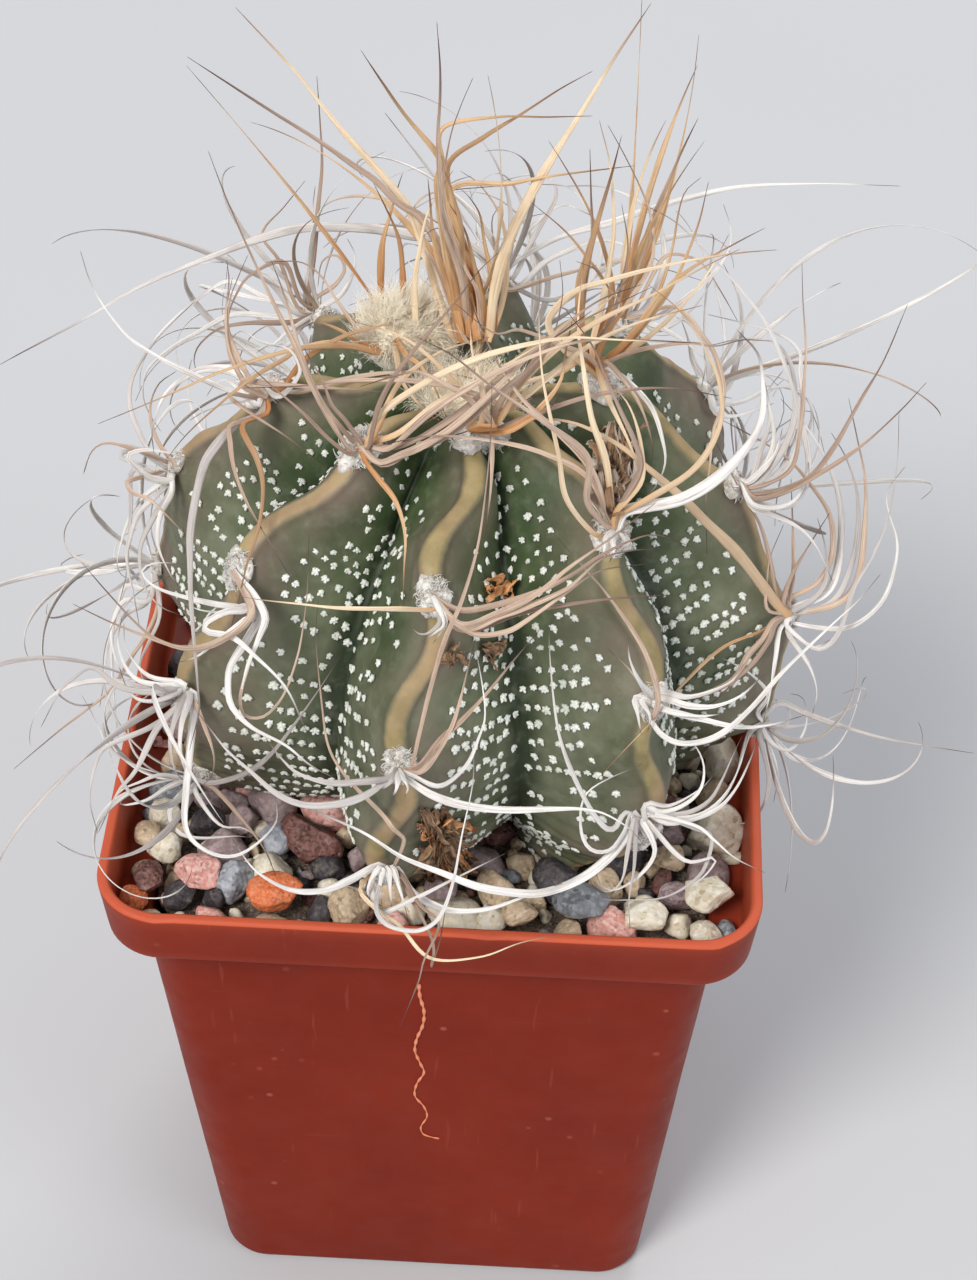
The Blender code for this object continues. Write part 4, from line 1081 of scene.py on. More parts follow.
# Spines placed one by one: rib, areole, kind, width mm, how far the middle bows towards
# the viewer mm, how far the tip comes towards the viewer mm, points across the frame.
SPINES = (
    # the crown's tall bundle
    (5, 1, "c", 1.65, 0, 26, ((457, 341), (441, 305), (428, 262), (414, 219), (397, 193), (375, 167), (345, 134), (319, 102), (293, 69), (237, 9))),
    (5, 1, "p", 1.6, 0, 30, ((460, 341), (450, 280), (437, 242), (418, 215), (399, 204), (375, 180), (353, 165), (319, 141), (271, 111), (223, 80), (189, 58))),
    (5, 1, "g", 2.0, 0, 40, ((463, 330), (455, 290), (447, 250), (438, 187), (442, 165), (436, 152), (405, 115), (382, 82), (362, 52))),
    (5, 1, "p", 1.5, 0, 42, ((468, 330), (462, 280), (446, 230), (441, 190), (438, 139), (440, 98), (440, 65), (437, 24))),
    (5, 1, "p", 0.8, 0, 40, ((470, 320), (460, 260), (443, 200), (449, 143), (460, 108), (472, 80))),
    (5, 1, "g", 1.3, 0, 30, ((476, 313), (468, 260), (455, 215), (448, 165), (484, 137), (523, 113), (560, 89), (591, 72))),
    (5, 1, "g", 1.2, 0, 30, ((474, 320), (465, 262), (452, 210), (443, 165), (443, 128), (495, 117), (547, 117), (590, 116))),
    (5, 1, "c", 2.0, 0, 34, ((488, 340), (494, 295), (508, 243), (528, 200), (551, 160), (582, 111), (614, 59), (650, 5))),
    (5, 1, "g", 1.3, 2, 22, ((482, 320), (480, 285), (470, 262), (452, 236), (446, 200), (462, 184), (506, 184), (538, 178), (582, 172), (632, 166))),
    (5, 1, "g", 1.7, 0, 16, ((464, 342), (456, 312), (447, 280), (437, 255), (432, 225), (430, 200), (428, 180))),
    (5, 1, "g", 1.5, 0, 18, ((470, 340), (466, 300), (462, 262), (462, 232), (456, 205), (448, 180), (437, 150))),
    (5, 1, "g", 1.4, 0, 12, ((486, 342), (484, 310), (478, 283), (472, 255), (464, 228), (450, 205))),
    (5, 1, "g", 1.3, 0, 12, ((492, 335), (494, 305), (490, 270), (484, 240), (480, 215), (470, 198), (462, 190))),
    (5, 1, "p", 1.0, 2, 14, ((480, 338), (478, 295), (466, 270), (452, 240), (438, 228), (425, 235))),
    (5, 1, "c", 1.1, -4, 0, ((492, 330), (505, 290), (507, 250), (500, 215), (480, 185), (462, 172))),
    (5, 1, "g", 1.5, 0, 8, ((478, 342), (470, 300), (455, 262), (446, 232), (446, 205), (452, 190))),
    (5, 1, "p", 1.0, 3, 10, ((470, 345), (452, 308), (436, 268), (420, 240), (412, 215), (425, 196), (452, 190), (500, 186))),
    # back rib, second areole: the great pale arch and the long whip
    (5, 2, "w", 1.55, 3, 16, ((500, 268), (470, 245), (440, 238), (415, 236), (375, 229), (330, 227), (295, 229), (252, 241), (210, 257), (168, 274), (126, 294), (95, 313), (53, 336), (21, 353), (1, 364))),
    (5, 2, "w", 1.05, 0, 12, ((515, 262), (560, 237), (616, 221), (646, 210), (692, 197), (738, 187), (795, 184), (841, 184), (898, 186))),
    (5, 2, "w", 1.0, -2, 4, ((520, 285), (545, 262), (570, 250), (600, 240), (640, 250), (660, 262))),
    (5, 2, "w", 0.9, -3, 0, ((500, 275), (520, 240), (545, 215), (566, 205), (590, 215))),
    (5, 2, "w", 0.9, 2, 4, ((520, 290), (550, 300), (585, 285), (600, 262), (598, 230), (585, 205), (568, 187), (530, 184))),
    (5, 2, "p", 0.9, 2, 8, ((505, 285), (495, 250), (492, 220), (500, 205))),
    (5, 2, "w", 0.8, -2, -4, ((495, 285), (455, 290), (420, 286), (390, 292), (350, 305))),
    (5, 2, "w", 1.0, 0, -6, ((488, 280), (480, 252), (476, 215), (470, 190))),
    (5, 2, "p", 0.8, 2, 2, ((510, 290), (560, 275), (620, 262), (660, 268), (700, 280))),
    (5, 2, "w", 0.9, 0, 3, ((512, 280), (535, 235), (555, 200), (552, 180), (528, 175), (500, 182))),
    # back-left rib
    (6, 1, "g", 1.35, 0, 12, ((384, 315), (381, 290), (381, 262), (383, 240), (390, 215), (397, 190), (402, 175))),
    (6, 1, "g", 1.2, 0, 12, ((402, 318), (403, 290), (402, 262), (399, 240), (392, 221), (380, 196), (374, 184))),
    (6, 1, "c", 1.3, 3, 16, ((412, 340), (415, 315), (415, 280), (421, 242), (427, 215), (440, 190), (452, 172))),
    (6, 1, "g", 1.2, 2, 8, ((380, 345), (356, 340), (340, 330), (316, 322), (300, 330))),
    (6, 1, "g", 0.9, 4, 10, ((390, 350), (356, 346), (330, 342), (303, 347), (252, 361), (210, 376), (179, 390), (137, 408), (100, 423))),
    (6, 1, "g", 1.15, 4, 14, ((392, 352), (350, 346), (303, 348), (284, 359), (252, 378), (221, 403), (189, 432), (167, 458))),
    (6, 1, "p", 0.9, 3, 4, ((388, 340), (360, 330), (340, 305), (320, 275), (300, 262), (268, 262))),
    (6, 1, "g", 1.2, 5, 10, ((404, 352), (420, 365), (436, 390), (440, 402), (447, 418))),
    (6, 1, "c", 1.2, 5, 8, ((396, 352), (400, 376), (412, 396), (430, 415), (445, 424))),
    (6, 2, "p", 0.95, 2, 10, ((308, 306), (312, 270), (318, 208), (322, 165), (320, 121), (317, 78))),
    (6, 2, "w", 1.1, 0, 6, ((306, 308), (309, 270), (311, 230), (313, 205), (315, 188))),
    (6, 2, "w", 0.8, 0, 2, ((300, 310), (285, 292), (268, 275), (245, 268), (228, 255))),
    (6, 2, "p", 0.7, 0, 6, ((298, 308), (280, 262), (262, 234), (284, 207), (304, 182))),
    (6, 2, "w", 1.1, 0, 0, ((296, 312), (273, 286), (250, 272), (238, 268))),
    (6, 2, "w", 0.9, -3, -6, ((292, 318), (263, 315), (231, 315), (200, 331), (168, 350), (147, 371), (143, 395), (150, 415), (160, 430))),
    (6, 2, "p", 0.9, 2, 2, ((292, 322), (248, 323), (219, 329), (200, 344), (194, 359), (197, 373))),
    (6, 2, "w", 0.8, 2, 4, ((298, 330), (288, 345), (262, 342), (242, 331), (232, 338))),
    (6, 2, "w", 0.7, 2, 6, ((290, 330), (272, 345), (250, 350), (233, 349))),
    (6, 2, "p", 0.8, 4, 8, ((300, 300), (284, 262), (252, 274), (238, 291), (228, 320), (236, 350))),
    (6, 2, "w", 0.8, -4, -10, ((294, 312), (262, 296), (228, 281), (194, 302), (162, 331), (141, 361), (131, 382), (130, 407))),
    (6, 2, "w", 0.8, 2, 2, ((318, 308), (340, 296), (352, 276), (355, 255), (348, 240))),
    (6, 2, "p", 0.8, 2, 6, ((314, 300), (335, 285), (345, 268), (336, 255), (322, 262), (318, 285))),
    (6, 3, "w", 0.9, 0, -6, ((250, 350), (215, 335), (180, 345), (150, 372), (136, 400))),
    (6, 3, "w", 0.8, 0, -2, ((250, 352), (230, 340), (222, 310), (226, 282), (228, 258))),
    # left rib
    (7, 1, "w", 0.85, 2, 6, ((262, 400), (223, 388), (196, 376), (162, 359), (130, 338), (105, 308), (90, 281), (81, 253))),
    (7, 1, "w", 1.35, 10, 18, ((262, 412), (236, 425), (215, 447), (202, 471), (191, 526), (190, 564), (191, 602), (194, 640), (198, 690), (199, 712), (190, 748))),
    (7, 1, "g", 1.1, 8, 12, ((268, 412), (242, 425), (257, 459), (263, 487), (259, 526), (247, 564), (238, 602), (230, 631))),
    (7, 1, "p", 1.0, 8, 10, ((262, 414), (231, 425), (230, 440), (234, 468), (246, 501), (263, 531), (280, 560), (293, 582))),
    (7, 1, "p", 1.15, 6, 8, ((268, 398), (240, 384), (250, 381), (274, 384), (330, 388), (372, 391), (402, 393))),
    (7, 1, "p", 0.85, 6, 6, ((262, 398), (228, 394), (252, 414), (284, 435), (312, 456), (323, 465))),
    (7, 1, "w", 1.4, -2, -4, ((262, 396), (235, 372), (205, 369), (187, 376), (168, 391), (158, 409), (152, 433), (154, 452))),
    (7, 1, "p", 1.0, 0, 6, ((268, 396), (246, 384), (232, 359), (227, 338), (226, 310), (229, 281), (227, 262))),
    (7, 1, "p", 0.8, 0, 6, ((270, 398), (240, 365), (228, 330), (230, 300), (237, 280), (247, 257))),
    (7, 1, "w", 1.0, 2, 2, ((258, 405), (240, 390), (226, 380), (215, 384), (208, 394))),
    (7, 1, "w", 0.9, 4, 8, ((280, 396), (300, 372), (290, 350), (270, 345), (258, 352))),
    (7, 2, "w", 0.85, -2, -4, ((168, 462), (150, 452), (139, 432), (130, 407), (131, 382), (141, 361), (160, 335), (194, 302))),
    (7, 2, "w", 0.85, 0, 4, ((168, 464), (146, 451), (123, 452), (124, 459), (156, 468), (180, 475))),
    (7, 2, "p", 0.8, 4, 10, ((165, 470), (137, 478), (127, 482), (133, 493), (152, 501), (182, 531), (200, 545))),
    (7, 2, "w", 1.0, -2, -2, ((167, 484), (140, 512), (129, 541), (127, 560), (135, 602), (139, 624))),
    (7, 2, "w", 0.9, -4, -6, ((166, 476), (133, 470), (131, 506), (129, 541), (126, 575), (120, 600))),
    (7, 2, "w", 0.8, 0, 2, ((166, 468), (137, 449), (111, 443), (97, 446), (88, 458), (84, 472))),
    (7, 2, "p", 0.7, 2, 4, ((168, 462), (130, 448), (107, 443), (92, 451), (85, 470))),
    (7, 2, "w", 1.1, 3, 6, ((172, 480), (150, 478), (135, 466), (128, 455), (150, 450), (190, 458))),
    (7, 2, "w", 0.9, -6, -8, ((164, 480), (140, 500), (128, 520), (118, 556), (119, 572), (127, 578))),
    (7, 2, "w", 0.95, 2, 6, ((170, 490), (152, 520), (140, 550), (144, 585), (160, 606), (180, 615))),
    (7, 2, "w", 1.0, 3, 8, ((172, 492), (160, 516), (158, 545), (168, 570), (178, 586))),
    (7, 2, "p", 0.8, 0, 2, ((176, 466), (157, 440), (150, 410), (158, 385), (175, 372))),
    (7, 3, "w", 0.9, -2, -2, ((150, 590), (127, 585), (119, 602), (112, 631), (112, 669), (114, 698), (118, 736))),
    (7, 3, "w", 0.9, 0, 2, ((150, 600), (125, 600), (112, 625), (113, 650), (122, 672), (137, 680))),
    (7, 3, "p", 0.8, 0, 6, ((158, 605), (145, 637), (134, 653), (112, 688), (85, 711), (60, 730), (15, 768))),
    (7, 3, "w", 0.8, -4, -6, ((150, 590), (130, 570), (115, 560), (118, 540), (135, 530))),
    (7, 3, "w", 0.9, -4, -4, ((148, 600), (125, 615), (108, 645), (104, 680), (100, 705))),
    (7, 3, "w", 0.8, 4, 6, ((160, 612), (150, 640), (140, 665), (148, 690), (160, 700))),
    # front-left rib
    (8, 1, "p", 1.0, 5, 24, ((352, 452), (330, 420), (309, 380), (295, 346), (274, 304), (244, 239), (225, 195), (209, 153))),
    (8, 1, "p", 1.45, 6, 10, ((378, 462), (400, 455), (420, 447), (450, 429), (484, 400), (528, 358), (567, 329), (590, 312))),
    (8, 1, "p", 1.1, 8, 12, ((385, 450), (397, 443), (429, 414), (476, 384), (528, 358), (583, 341), (640, 340), (699, 343))),
    (8, 1, "c", 1.2, 8, 14, ((368, 448), (377, 418), (413, 390), (458, 366), (508, 349), (567, 338), (620, 340), (690, 343))),
    (8, 1, "p", 0.95, 6, 14, ((368, 448), (378, 408), (395, 375), (425, 337), (453, 305), (478, 272), (497, 254))),
    (8, 1, "g", 0.95, 5, 4, ((366, 462), (378, 478), (396, 502), (405, 534), (404, 570), (403, 608))),
    (8, 1, "p", 0.8, 4, 10, ((352, 455), (330, 440), (302, 412), (274, 388), (246, 362))),
    (8, 1, "p", 1.0, 6, 8, ((382, 465), (410, 452), (440, 440), (470, 420), (500, 392), (545, 352), (562, 300), (560, 262))),
    (8, 1, "p", 0.9, 3, 4, ((362, 445), (345, 420), (332, 405), (322, 380), (305, 350))),
    (8, 2, "w", 1.3, 4, 6, ((255, 612), (244, 621), (222, 637), (198, 656), (180, 662))),
    (8, 2, "w", 1.2, 6, 8, ((258, 610), (251, 633), (232, 663), (228, 680), (231, 705), (251, 727), (285, 745), (310, 765), (338, 780))),
    (8, 2, "w", 1.25, 5, 6, ((264, 612), (259, 637), (247, 667), (240, 698), (236, 712))),
    (8, 2, "w", 0.9, 4, 4, ((250, 604), (230, 606), (205, 602), (167, 592), (148, 582), (142, 570), (156, 563), (182, 564))),
    (8, 2, "p", 1.05, 8, 12, ((252, 612), (223, 640), (194, 650), (167, 644), (137, 633), (108, 621), (75, 605))),
    (8, 2, "p", 0.95, 8, 14, ((250, 615), (215, 642), (185, 648), (158, 640), (137, 624), (108, 593), (83, 564))),
    (8, 2, "p", 0.6, 6, 6, ((264, 616), (250, 660), (240, 698), (245, 716), (256, 718), (268, 714), (283, 696), (294, 668), (301, 640), (307, 593), (309, 537))),
    (8, 2, "w", 1.1, 6, 8, ((250, 606), (225, 612), (205, 624), (208, 632), (232, 637), (255, 656), (286, 688), (307, 733))),
    (8, 2, "w", 0.8, 3, 4, ((256, 600), (240, 606), (222, 612), (200, 610), (182, 602))),
    (8, 3, "w", 1.0, 2, 2, ((185, 686), (158, 685), (136, 679), (123, 662), (118, 640), (122, 618))),
    (8, 3, "w", 1.05, 3, 8, ((184, 688), (147, 692), (118, 686), (99, 671), (88, 668), (73, 679), (60, 691), (42, 725))),
    (8, 3, "w", 0.95, 1, 0, ((184, 684), (151, 677), (134, 662), (125, 645), (124, 625))),
    (8, 3, "w", 1.2, 4, 4, ((186, 694), (175, 720), (170, 744), (175, 770), (184, 781))),
    (8, 3, "w", 1.1, 5, 5, ((190, 694), (182, 722), (180, 748), (186, 772), (196, 784))),
    (8, 3, "w", 1.2, 6, 8, ((194, 692), (190, 748), (186, 792), (185, 824), (194, 842), (216, 855), (238, 855), (259, 842), (275, 824), (277, 809), (271, 781))),
    (8, 3, "w", 1.1, 2, 8, ((184, 700), (158, 727), (136, 770), (118, 792), (99, 831))),
    (8, 3, "w", 0.9, 0, 8, ((184, 704), (151, 727), (108, 746), (95, 766), (90, 800), (97, 831))),
    (8, 3, "p", 0.9, 4, 6, ((192, 700), (206, 730), (214, 756), (212, 775), (203, 785))),
    (8, 3, "w", 1.0, 2, 2, ((182, 690), (160, 700), (140, 700), (128, 690), (120, 670))),
    (8, 4, "w", 0.95, 5, 8, ((196, 778), (212, 783), (244, 774), (268, 757), (288, 733), (316, 694), (340, 657))),
    (8, 4, "w", 0.9, 3, 6, ((186, 780), (168, 787), (147, 800), (123, 805), (121, 799), (132, 799))),
    (8, 4, "p", 0.8, 4, 6, ((200, 782), (216, 790), (246, 824), (266, 852), (279, 886))),
    (8, 4, "w", 0.8, 3, 4, ((194, 786), (205, 808), (222, 826), (243, 828), (258, 838))),
    (8, 4, "w", 0.9, 2, 5, ((188, 786), (170, 810), (178, 832), (200, 838), (236, 836), (252, 838))),
    (8, 4, "w", 0.8, 2, 6, ((184, 778), (160, 775), (140, 782), (122, 790), (110, 806))),
    # front rib
    (1, 1, "g", 1.3, 4, 6, ((500, 432), (520, 424), (540, 408), (560, 382), (566, 350), (572, 322))),
    (1, 1, "g", 1.2, 4, 4, ((505, 432), (528, 421), (548, 410), (560, 396))),
    (1, 1, "g", 1.1, 5, 6, ((498, 428), (480, 425), (465, 432), (452, 436))),
    (1, 1, "p", 1.2, 5, 12, ((492, 425), (470, 400), (448, 386), (420, 372), (395, 376), (362, 386))),
    (1, 1, "c", 1.3, 5, 12, ((480, 425), (484, 405), (480, 380), (472, 350), (470, 320))),
    (1, 1, "p", 1.2, 5, 12, ((486, 424), (505, 395), (528, 370), (545, 345), (565, 325), (600, 300), (640, 285))),
    (1, 1, "c", 1.2, 5, 16, ((496, 424), (520, 385), (555, 350), (600, 320), (650, 296), (702, 268), (738, 250))),
    (1, 2, "c", 0.85, 6, 10, ((436, 609), (400, 609), (340, 608), (300, 604), (262, 600), (238, 596))),
    (1, 2, "p", 1.0, 8, 12, ((460, 610), (492, 606), (535, 593), (570, 576), (600, 556), (630, 541), (656, 535), (690, 546))),
    (1, 2, "p", 1.1, 8, 16, ((461, 625), (496, 614), (535, 595), (570, 567), (611, 538), (654, 504))),
    (1, 2, "p", 1.1, 8, 12, ((465, 628), (500, 616), (524, 608), (568, 588), (600, 560), (628, 551), (658, 549))),
    (1, 2, "p", 1.0, 7, 8, ((461, 630), (513, 615), (546, 608), (609, 599), (673, 595))),
    (1, 2, "p", 0.9, 8, 10, ((470, 632), (505, 632), (529, 619), (566, 593), (600, 571), (645, 564))),
    (1, 2, "w", 0.8, 2, 2, ((440, 620), (430, 632), (420, 634), (410, 627))),
    (1, 2, "w", 0.9, 3, 3, ((444, 622), (436, 632), (424, 640))),
    (1, 2, "w", 0.9, 3, 2, ((446, 620), (441, 632), (434, 642))),
    (1, 3, "p", 0.75, 8, 26, ((410, 770), (419, 735), (430, 690), (445, 640), (462, 600), (478, 545), (487, 480), (491, 430), (492, 384))),
    (1, 3, "p", 0.95, 6, 10, ((419, 766), (440, 740), (462, 720), (488, 692), (514, 660), (538, 632))),
    (1, 3, "p", 0.9, 6, 8, ((420, 772), (438, 752), (452, 726), (460, 701), (468, 668), (475, 640))),
    (1, 3, "w", 1.25, 5, 6, ((410, 781), (434, 796), (467, 806), (510, 810), (553, 809), (582, 809), (605, 814), (630, 829), (642, 843))),
    (1, 3, "w", 1.15, 5, 6, ((385, 782), (364, 796), (338, 804), (305, 805), (277, 794), (249, 770), (225, 748), (199, 714))),
    (1, 3, "w", 1.05, 4, 5, ((388, 778), (368, 781), (331, 783), (299, 774), (280, 757), (266, 738))),
    (1, 3, "w", 1.3, 3, 2, ((394, 778), (386, 786), (380, 790))),
    (1, 3, "w", 1.3, 3, 3, ((398, 780), (396, 790), (392, 797))),
    (1, 3, "w", 1.0, 3, 3, ((404, 779), (408, 788), (405, 796))),
    (1, 3, "w", 0.7, 8, 16, ((412, 775), (440, 786), (466, 766), (479, 737), (485, 716), (482, 683), (474, 640))),
    (1, 4, "w", 1.25, 5, 8, ((382, 866), (368, 870), (348, 881), (320, 891), (288, 889), (255, 870), (233, 840))),
    (1, 4, "w", 1.3, 4, 4, ((380, 868), (371, 880), (368, 893), (375, 903))),
    (1, 4, "w", 1.3, 4, 4, ((384, 868), (380, 886), (382, 905))),
    (1, 4, "w", 1.3, 4, 4, ((388, 868), (390, 888), (392, 908))),
    (1, 4, "w", 1.2, 4, 5, ((392, 868), (400, 890), (407, 914))),
    (1, 4, "w", 1.25, 5, 8, ((396, 868), (412, 892), (436, 906), (456, 911), (488, 909), (521, 898), (560, 884))),
    (1, 4, "w", 0.9, 6, 8, ((376, 870), (372, 892), (381, 912), (412, 900), (456, 878), (504, 854))),
    (1, 4, "c", 0.8, 8, 12, ((376, 872), (360, 890), (381, 913), (400, 926), (430, 958), (480, 957), (520, 943), (562, 934))),
    (1, 4, "p", 0.7, 9, 12, ((398, 872), (420, 905), (438, 920), (436, 935), (424, 960), (418, 983), (400, 1027))),
    (1, 4, "w", 0.75, 12, 24, ((384, 870), (376, 905), (386, 924), (412, 931), (430, 926), (443, 911), (454, 878), (462, 835), (473, 781), (473, 738))),
    (1, 4, "p", 0.7, 6, 8, ((394, 866), (404, 840), (394, 830), (381, 813), (348, 779), (329, 748), (322, 705), (316, 640), (318, 602))),
    (1, 4, "p", 0.7, 6, 12, ((396, 874), (412, 900), (428, 930), (434, 950), (430, 970), (440, 940), (446, 905))),
    # front-right rib
    (2, 1, "w", 1.9, 3, 6, ((624, 512), (643, 507), (682, 499), (721, 475), (752, 440), (763, 410), (762, 373), (757, 352), (738, 331))),
    (2, 1, "p", 1.3, 10, 22, ((600, 520), (587, 500), (587, 457), (547, 424), (494, 388), (453, 356), (419, 338))),
    (2, 1, "c", 0.95, 8, 24, ((596, 535), (567, 500), (559, 457), (551, 420), (543, 380), (540, 348), (539, 309), (540, 280))),
    (2, 1, "c", 1.1, 4, 14, ((620, 515), (648, 499), (687, 475), (708, 451), (721, 421), (721, 395), (715, 369), (696, 334), (676, 307), (650, 286))),
    (2, 1, "w", 1.4, 4, 4, ((606, 540), (604, 552), (602, 560))),
    (2, 1, "w", 1.5, 4, 4, ((612, 538), (614, 550), (610, 561))),
    (2, 1, "p", 1.1, 6, 10, ((618, 510), (640, 470), (634, 440), (622, 414), (604, 373), (592, 345), (566, 310))),
    (2, 1, "c", 1.1, 4, 8, ((616, 512), (641, 481), (640, 440), (628, 404), (606, 380))),
    (2, 2, "w", 1.0, 4, 10, ((640, 682), (630, 660), (628, 640))),
    (2, 2, "w", 1.3, 3, 3, ((636, 698), (638, 716), (641, 733))),
    (2, 2, "w", 1.2, 3, 3, ((642, 700), (650, 716), (648, 730))),
    (2, 2, "p", 0.95, 8, 16, ((652, 720), (658, 697), (644, 650), (609, 597), (585, 569), (556, 536))),
    (2, 2, "w", 1.0, 4, 6, ((655, 706), (680, 714), (701, 719), (738, 727), (770, 725), (802, 716))),
    (2, 2, "w", 0.9, 6, 14, ((650, 715), (660, 733), (679, 743), (705, 741), (727, 730), (753, 706), (779, 676), (803, 652), (835, 622), (859, 600), (879, 576))),
    (2, 2, "w", 1.1, 4, 6, ((652, 696), (670, 700), (690, 706), (716, 706), (742, 695), (762, 676))),
    (2, 2, "w", 1.0, 4, 5, ((654, 690), (672, 694), (688, 697), (712, 691), (733, 680), (744, 664))),
    (2, 2, "w", 1.1, 3, 6, ((650, 702), (672, 712), (700, 716), (722, 714))),
    (2, 2, "p", 0.7, 4, 10, ((645, 690), (628, 668), (609, 650))),
    (2, 3, "w", 1.05, 3, 4, ((645, 808), (662, 815), (690, 812), (710, 800), (722, 780), (733, 755), (741, 738))),
    (2, 3, "w", 1.1, 3, 5, ((645, 811), (665, 820), (700, 815), (725, 795), (740, 765), (748, 735))),
    (2, 3, "w", 1.0, 4, 5, ((645, 812), (670, 823), (712, 812), (735, 790), (752, 755), (757, 735))),
    (2, 3, "w", 0.95, 3, 4, ((644, 806), (660, 812), (682, 806), (700, 790), (704, 768), (698, 750), (688, 740), (680, 745))),
    (2, 3, "w", 0.9, 3, 4, ((645, 805), (668, 806), (690, 796), (706, 784), (714, 774))),
    (2, 3, "w", 1.45, 6, 12, ((634, 812), (629, 829), (614, 852), (582, 878), (541, 893), (501, 891), (473, 885), (445, 874), (402, 857), (364, 833), (320, 813), (277, 794))),
    (2, 3, "w", 0.7, 5, 8, ((632, 815), (625, 831), (610, 850), (592, 850), (582, 835), (581, 809), (588, 792), (608, 779), (641, 765))),
    (2, 3, "w", 0.85, 6, 12, ((628, 812), (612, 830), (595, 816), (575, 779), (560, 738), (553, 694), (549, 640), (551, 622))),
    (2, 3, "w", 0.7, 5, 8, ((650, 815), (700, 830), (712, 838), (705, 867), (690, 884), (662, 898), (629, 900), (601, 898), (591, 882))),
    (2, 3, "w", 0.75, 5, 10, ((645, 815), (694, 825), (714, 840), (735, 858), (763, 872))),
    (2, 3, "w", 0.8, 4, 8, ((638, 818), (634, 868), (629, 900), (630, 928))),
    (2, 3, "w", 0.9, 4, 6, ((640, 818), (655, 850), (640, 875), (615, 890), (600, 884), (596, 870))),
    (2, 3, "w", 0.9, 4, 6, ((636, 818), (628, 850), (622, 880), (608, 892), (594, 882))),
    (2, 3, "w", 0.8, 5, 8, ((644, 818), (672, 850), (690, 862), (716, 858), (700, 880), (670, 892))),
    # right rib
    (3, 1, "g", 1.75, 0, 24, ((584, 355), (580, 290), (588, 256), (599, 217), (612, 173), (621, 138))),
    (3, 1, "c", 1.2, 0, 24, ((592, 350), (603, 300), (612, 249), (614, 217), (610, 165), (600, 123))),
    (3, 1, "p", 1.2, 0, 20, ((582, 350), (584, 290), (592, 240), (591, 195), (590, 151))),
    (3, 1, "g", 1.0, 0, 16, ((590, 352), (612, 300), (604, 249), (586, 204), (564, 165), (550, 143))),
    (3, 1, "g", 0.95, 0, 14, ((588, 352), (610, 310), (604, 282), (586, 256), (564, 230), (532, 203))),
    (3, 1, "g", 1.2, 2, 20, ((602, 362), (620, 352), (646, 321), (669, 291), (685, 259), (699, 222), (708, 184))),
    (3, 1, "g", 1.2, 3, 22, ((604, 364), (622, 346), (641, 323), (664, 291), (692, 268), (738, 242), (763, 229))),
    (3, 1, "c", 1.25, 6, 22, ((580, 362), (560, 345), (548, 322), (564, 300), (582, 288), (600, 283), (646, 270), (692, 260), (738, 253), (775, 250))),
    (3, 1, "p", 0.9, 0, 10, ((596, 352), (630, 300), (652, 260), (651, 217), (642, 191), (625, 156), (609, 127))),
    (3, 1, "c", 1.25, 6, 10, ((598, 368), (607, 396), (627, 438), (638, 467), (641, 485))),
    (3, 1, "p", 1.0, 5, 6, ((602, 362), (613, 367), (639, 403), (652, 442), (652, 461))),
    (3, 1, "w", 0.95, 5, 6, ((604, 366), (630, 384), (652, 408), (663, 442), (665, 464), (656, 486), (643, 499))),
    (3, 1, "g", 1.0, 4, 16, ((598, 356), (610, 330), (622, 308), (610, 290), (596, 270), (578, 262))),
    (3, 1, "p", 1.0, 6, 16, ((590, 358), (560, 345), (520, 330), (494, 333), (457, 305))),
    (3, 1, "g", 1.0, 3, 18, ((606, 360), (640, 330), (655, 300), (666, 272), (674, 240), (678, 215), (685, 192), (699, 179))),
    (3, 1, "p", 0.9, 6, 12, ((606, 364), (632, 352), (660, 346), (690, 343), (716, 346), (742, 340), (770, 341))),
    (3, 2, "p", 0.75, 2, 12, ((752, 488), (790, 470), (800, 428), (804, 382), (806, 348), (803, 302), (802, 265))),
    (3, 2, "p", 0.95, 4, 16, ((756, 499), (788, 490), (817, 475), (860, 447), (899, 412), (925, 384))),
    (3, 2, "p", 0.9, 3, 16, ((752, 494), (787, 488), (812, 475), (834, 447), (860, 401), (884, 360), (907, 306))),
    (3, 2, "w", 1.0, 2, 6, ((752, 488), (774, 464), (787, 442), (795, 414), (795, 388), (790, 362), (774, 342), (742, 339), (712, 345))),
    (3, 2, "w", 0.95, 1, 4, ((750, 482), (769, 458), (774, 432), (769, 403), (765, 382))),
    (3, 2, "w", 0.9, 3, 10, ((756, 501), (787, 507), (802, 494), (808, 473), (808, 453), (802, 425), (791, 382), (770, 330), (742, 291), (715, 261), (678, 224), (645, 205))),
    (3, 2, "w", 1.0, 0, 2, ((750, 484), (760, 452), (770, 420), (768, 392), (782, 372))),
    (3, 2, "w", 0.9, 2, 6, ((752, 490), (780, 476), (795, 455), (800, 430), (803, 400), (800, 371), (800, 353), (784, 337), (747, 324), (710, 315))),
    (3, 2, "w", 1.1, 2, 2, ((748, 482), (762, 470), (776, 452), (782, 430))),
    (3, 2, "w", 0.9, 4, 4, ((752, 504), (775, 508), (795, 500), (806, 480), (809, 455))),
    (3, 2, "w", 0.8, 3, -4, ((752, 508), (770, 514), (796, 526), (815, 545), (832, 580))),
    (3, 3, "p", 1.0, 1, 4, ((788, 600), (817, 583), (832, 555), (830, 516), (810, 484), (787, 458), (752, 436), (722, 420))),
    (3, 3, "w", 1.25, 0, 0, ((793, 608), (825, 594), (838, 566), (841, 512), (830, 468), (806, 427), (782, 400))),
    (3, 3, "w", 1.05, 0, 2, ((795, 613), (834, 601), (854, 555), (858, 501), (847, 460), (832, 434))),
    (3, 3, "p", 1.1, 0, 4, ((795, 614), (838, 603), (858, 577), (865, 523), (865, 479), (858, 442), (849, 400))),
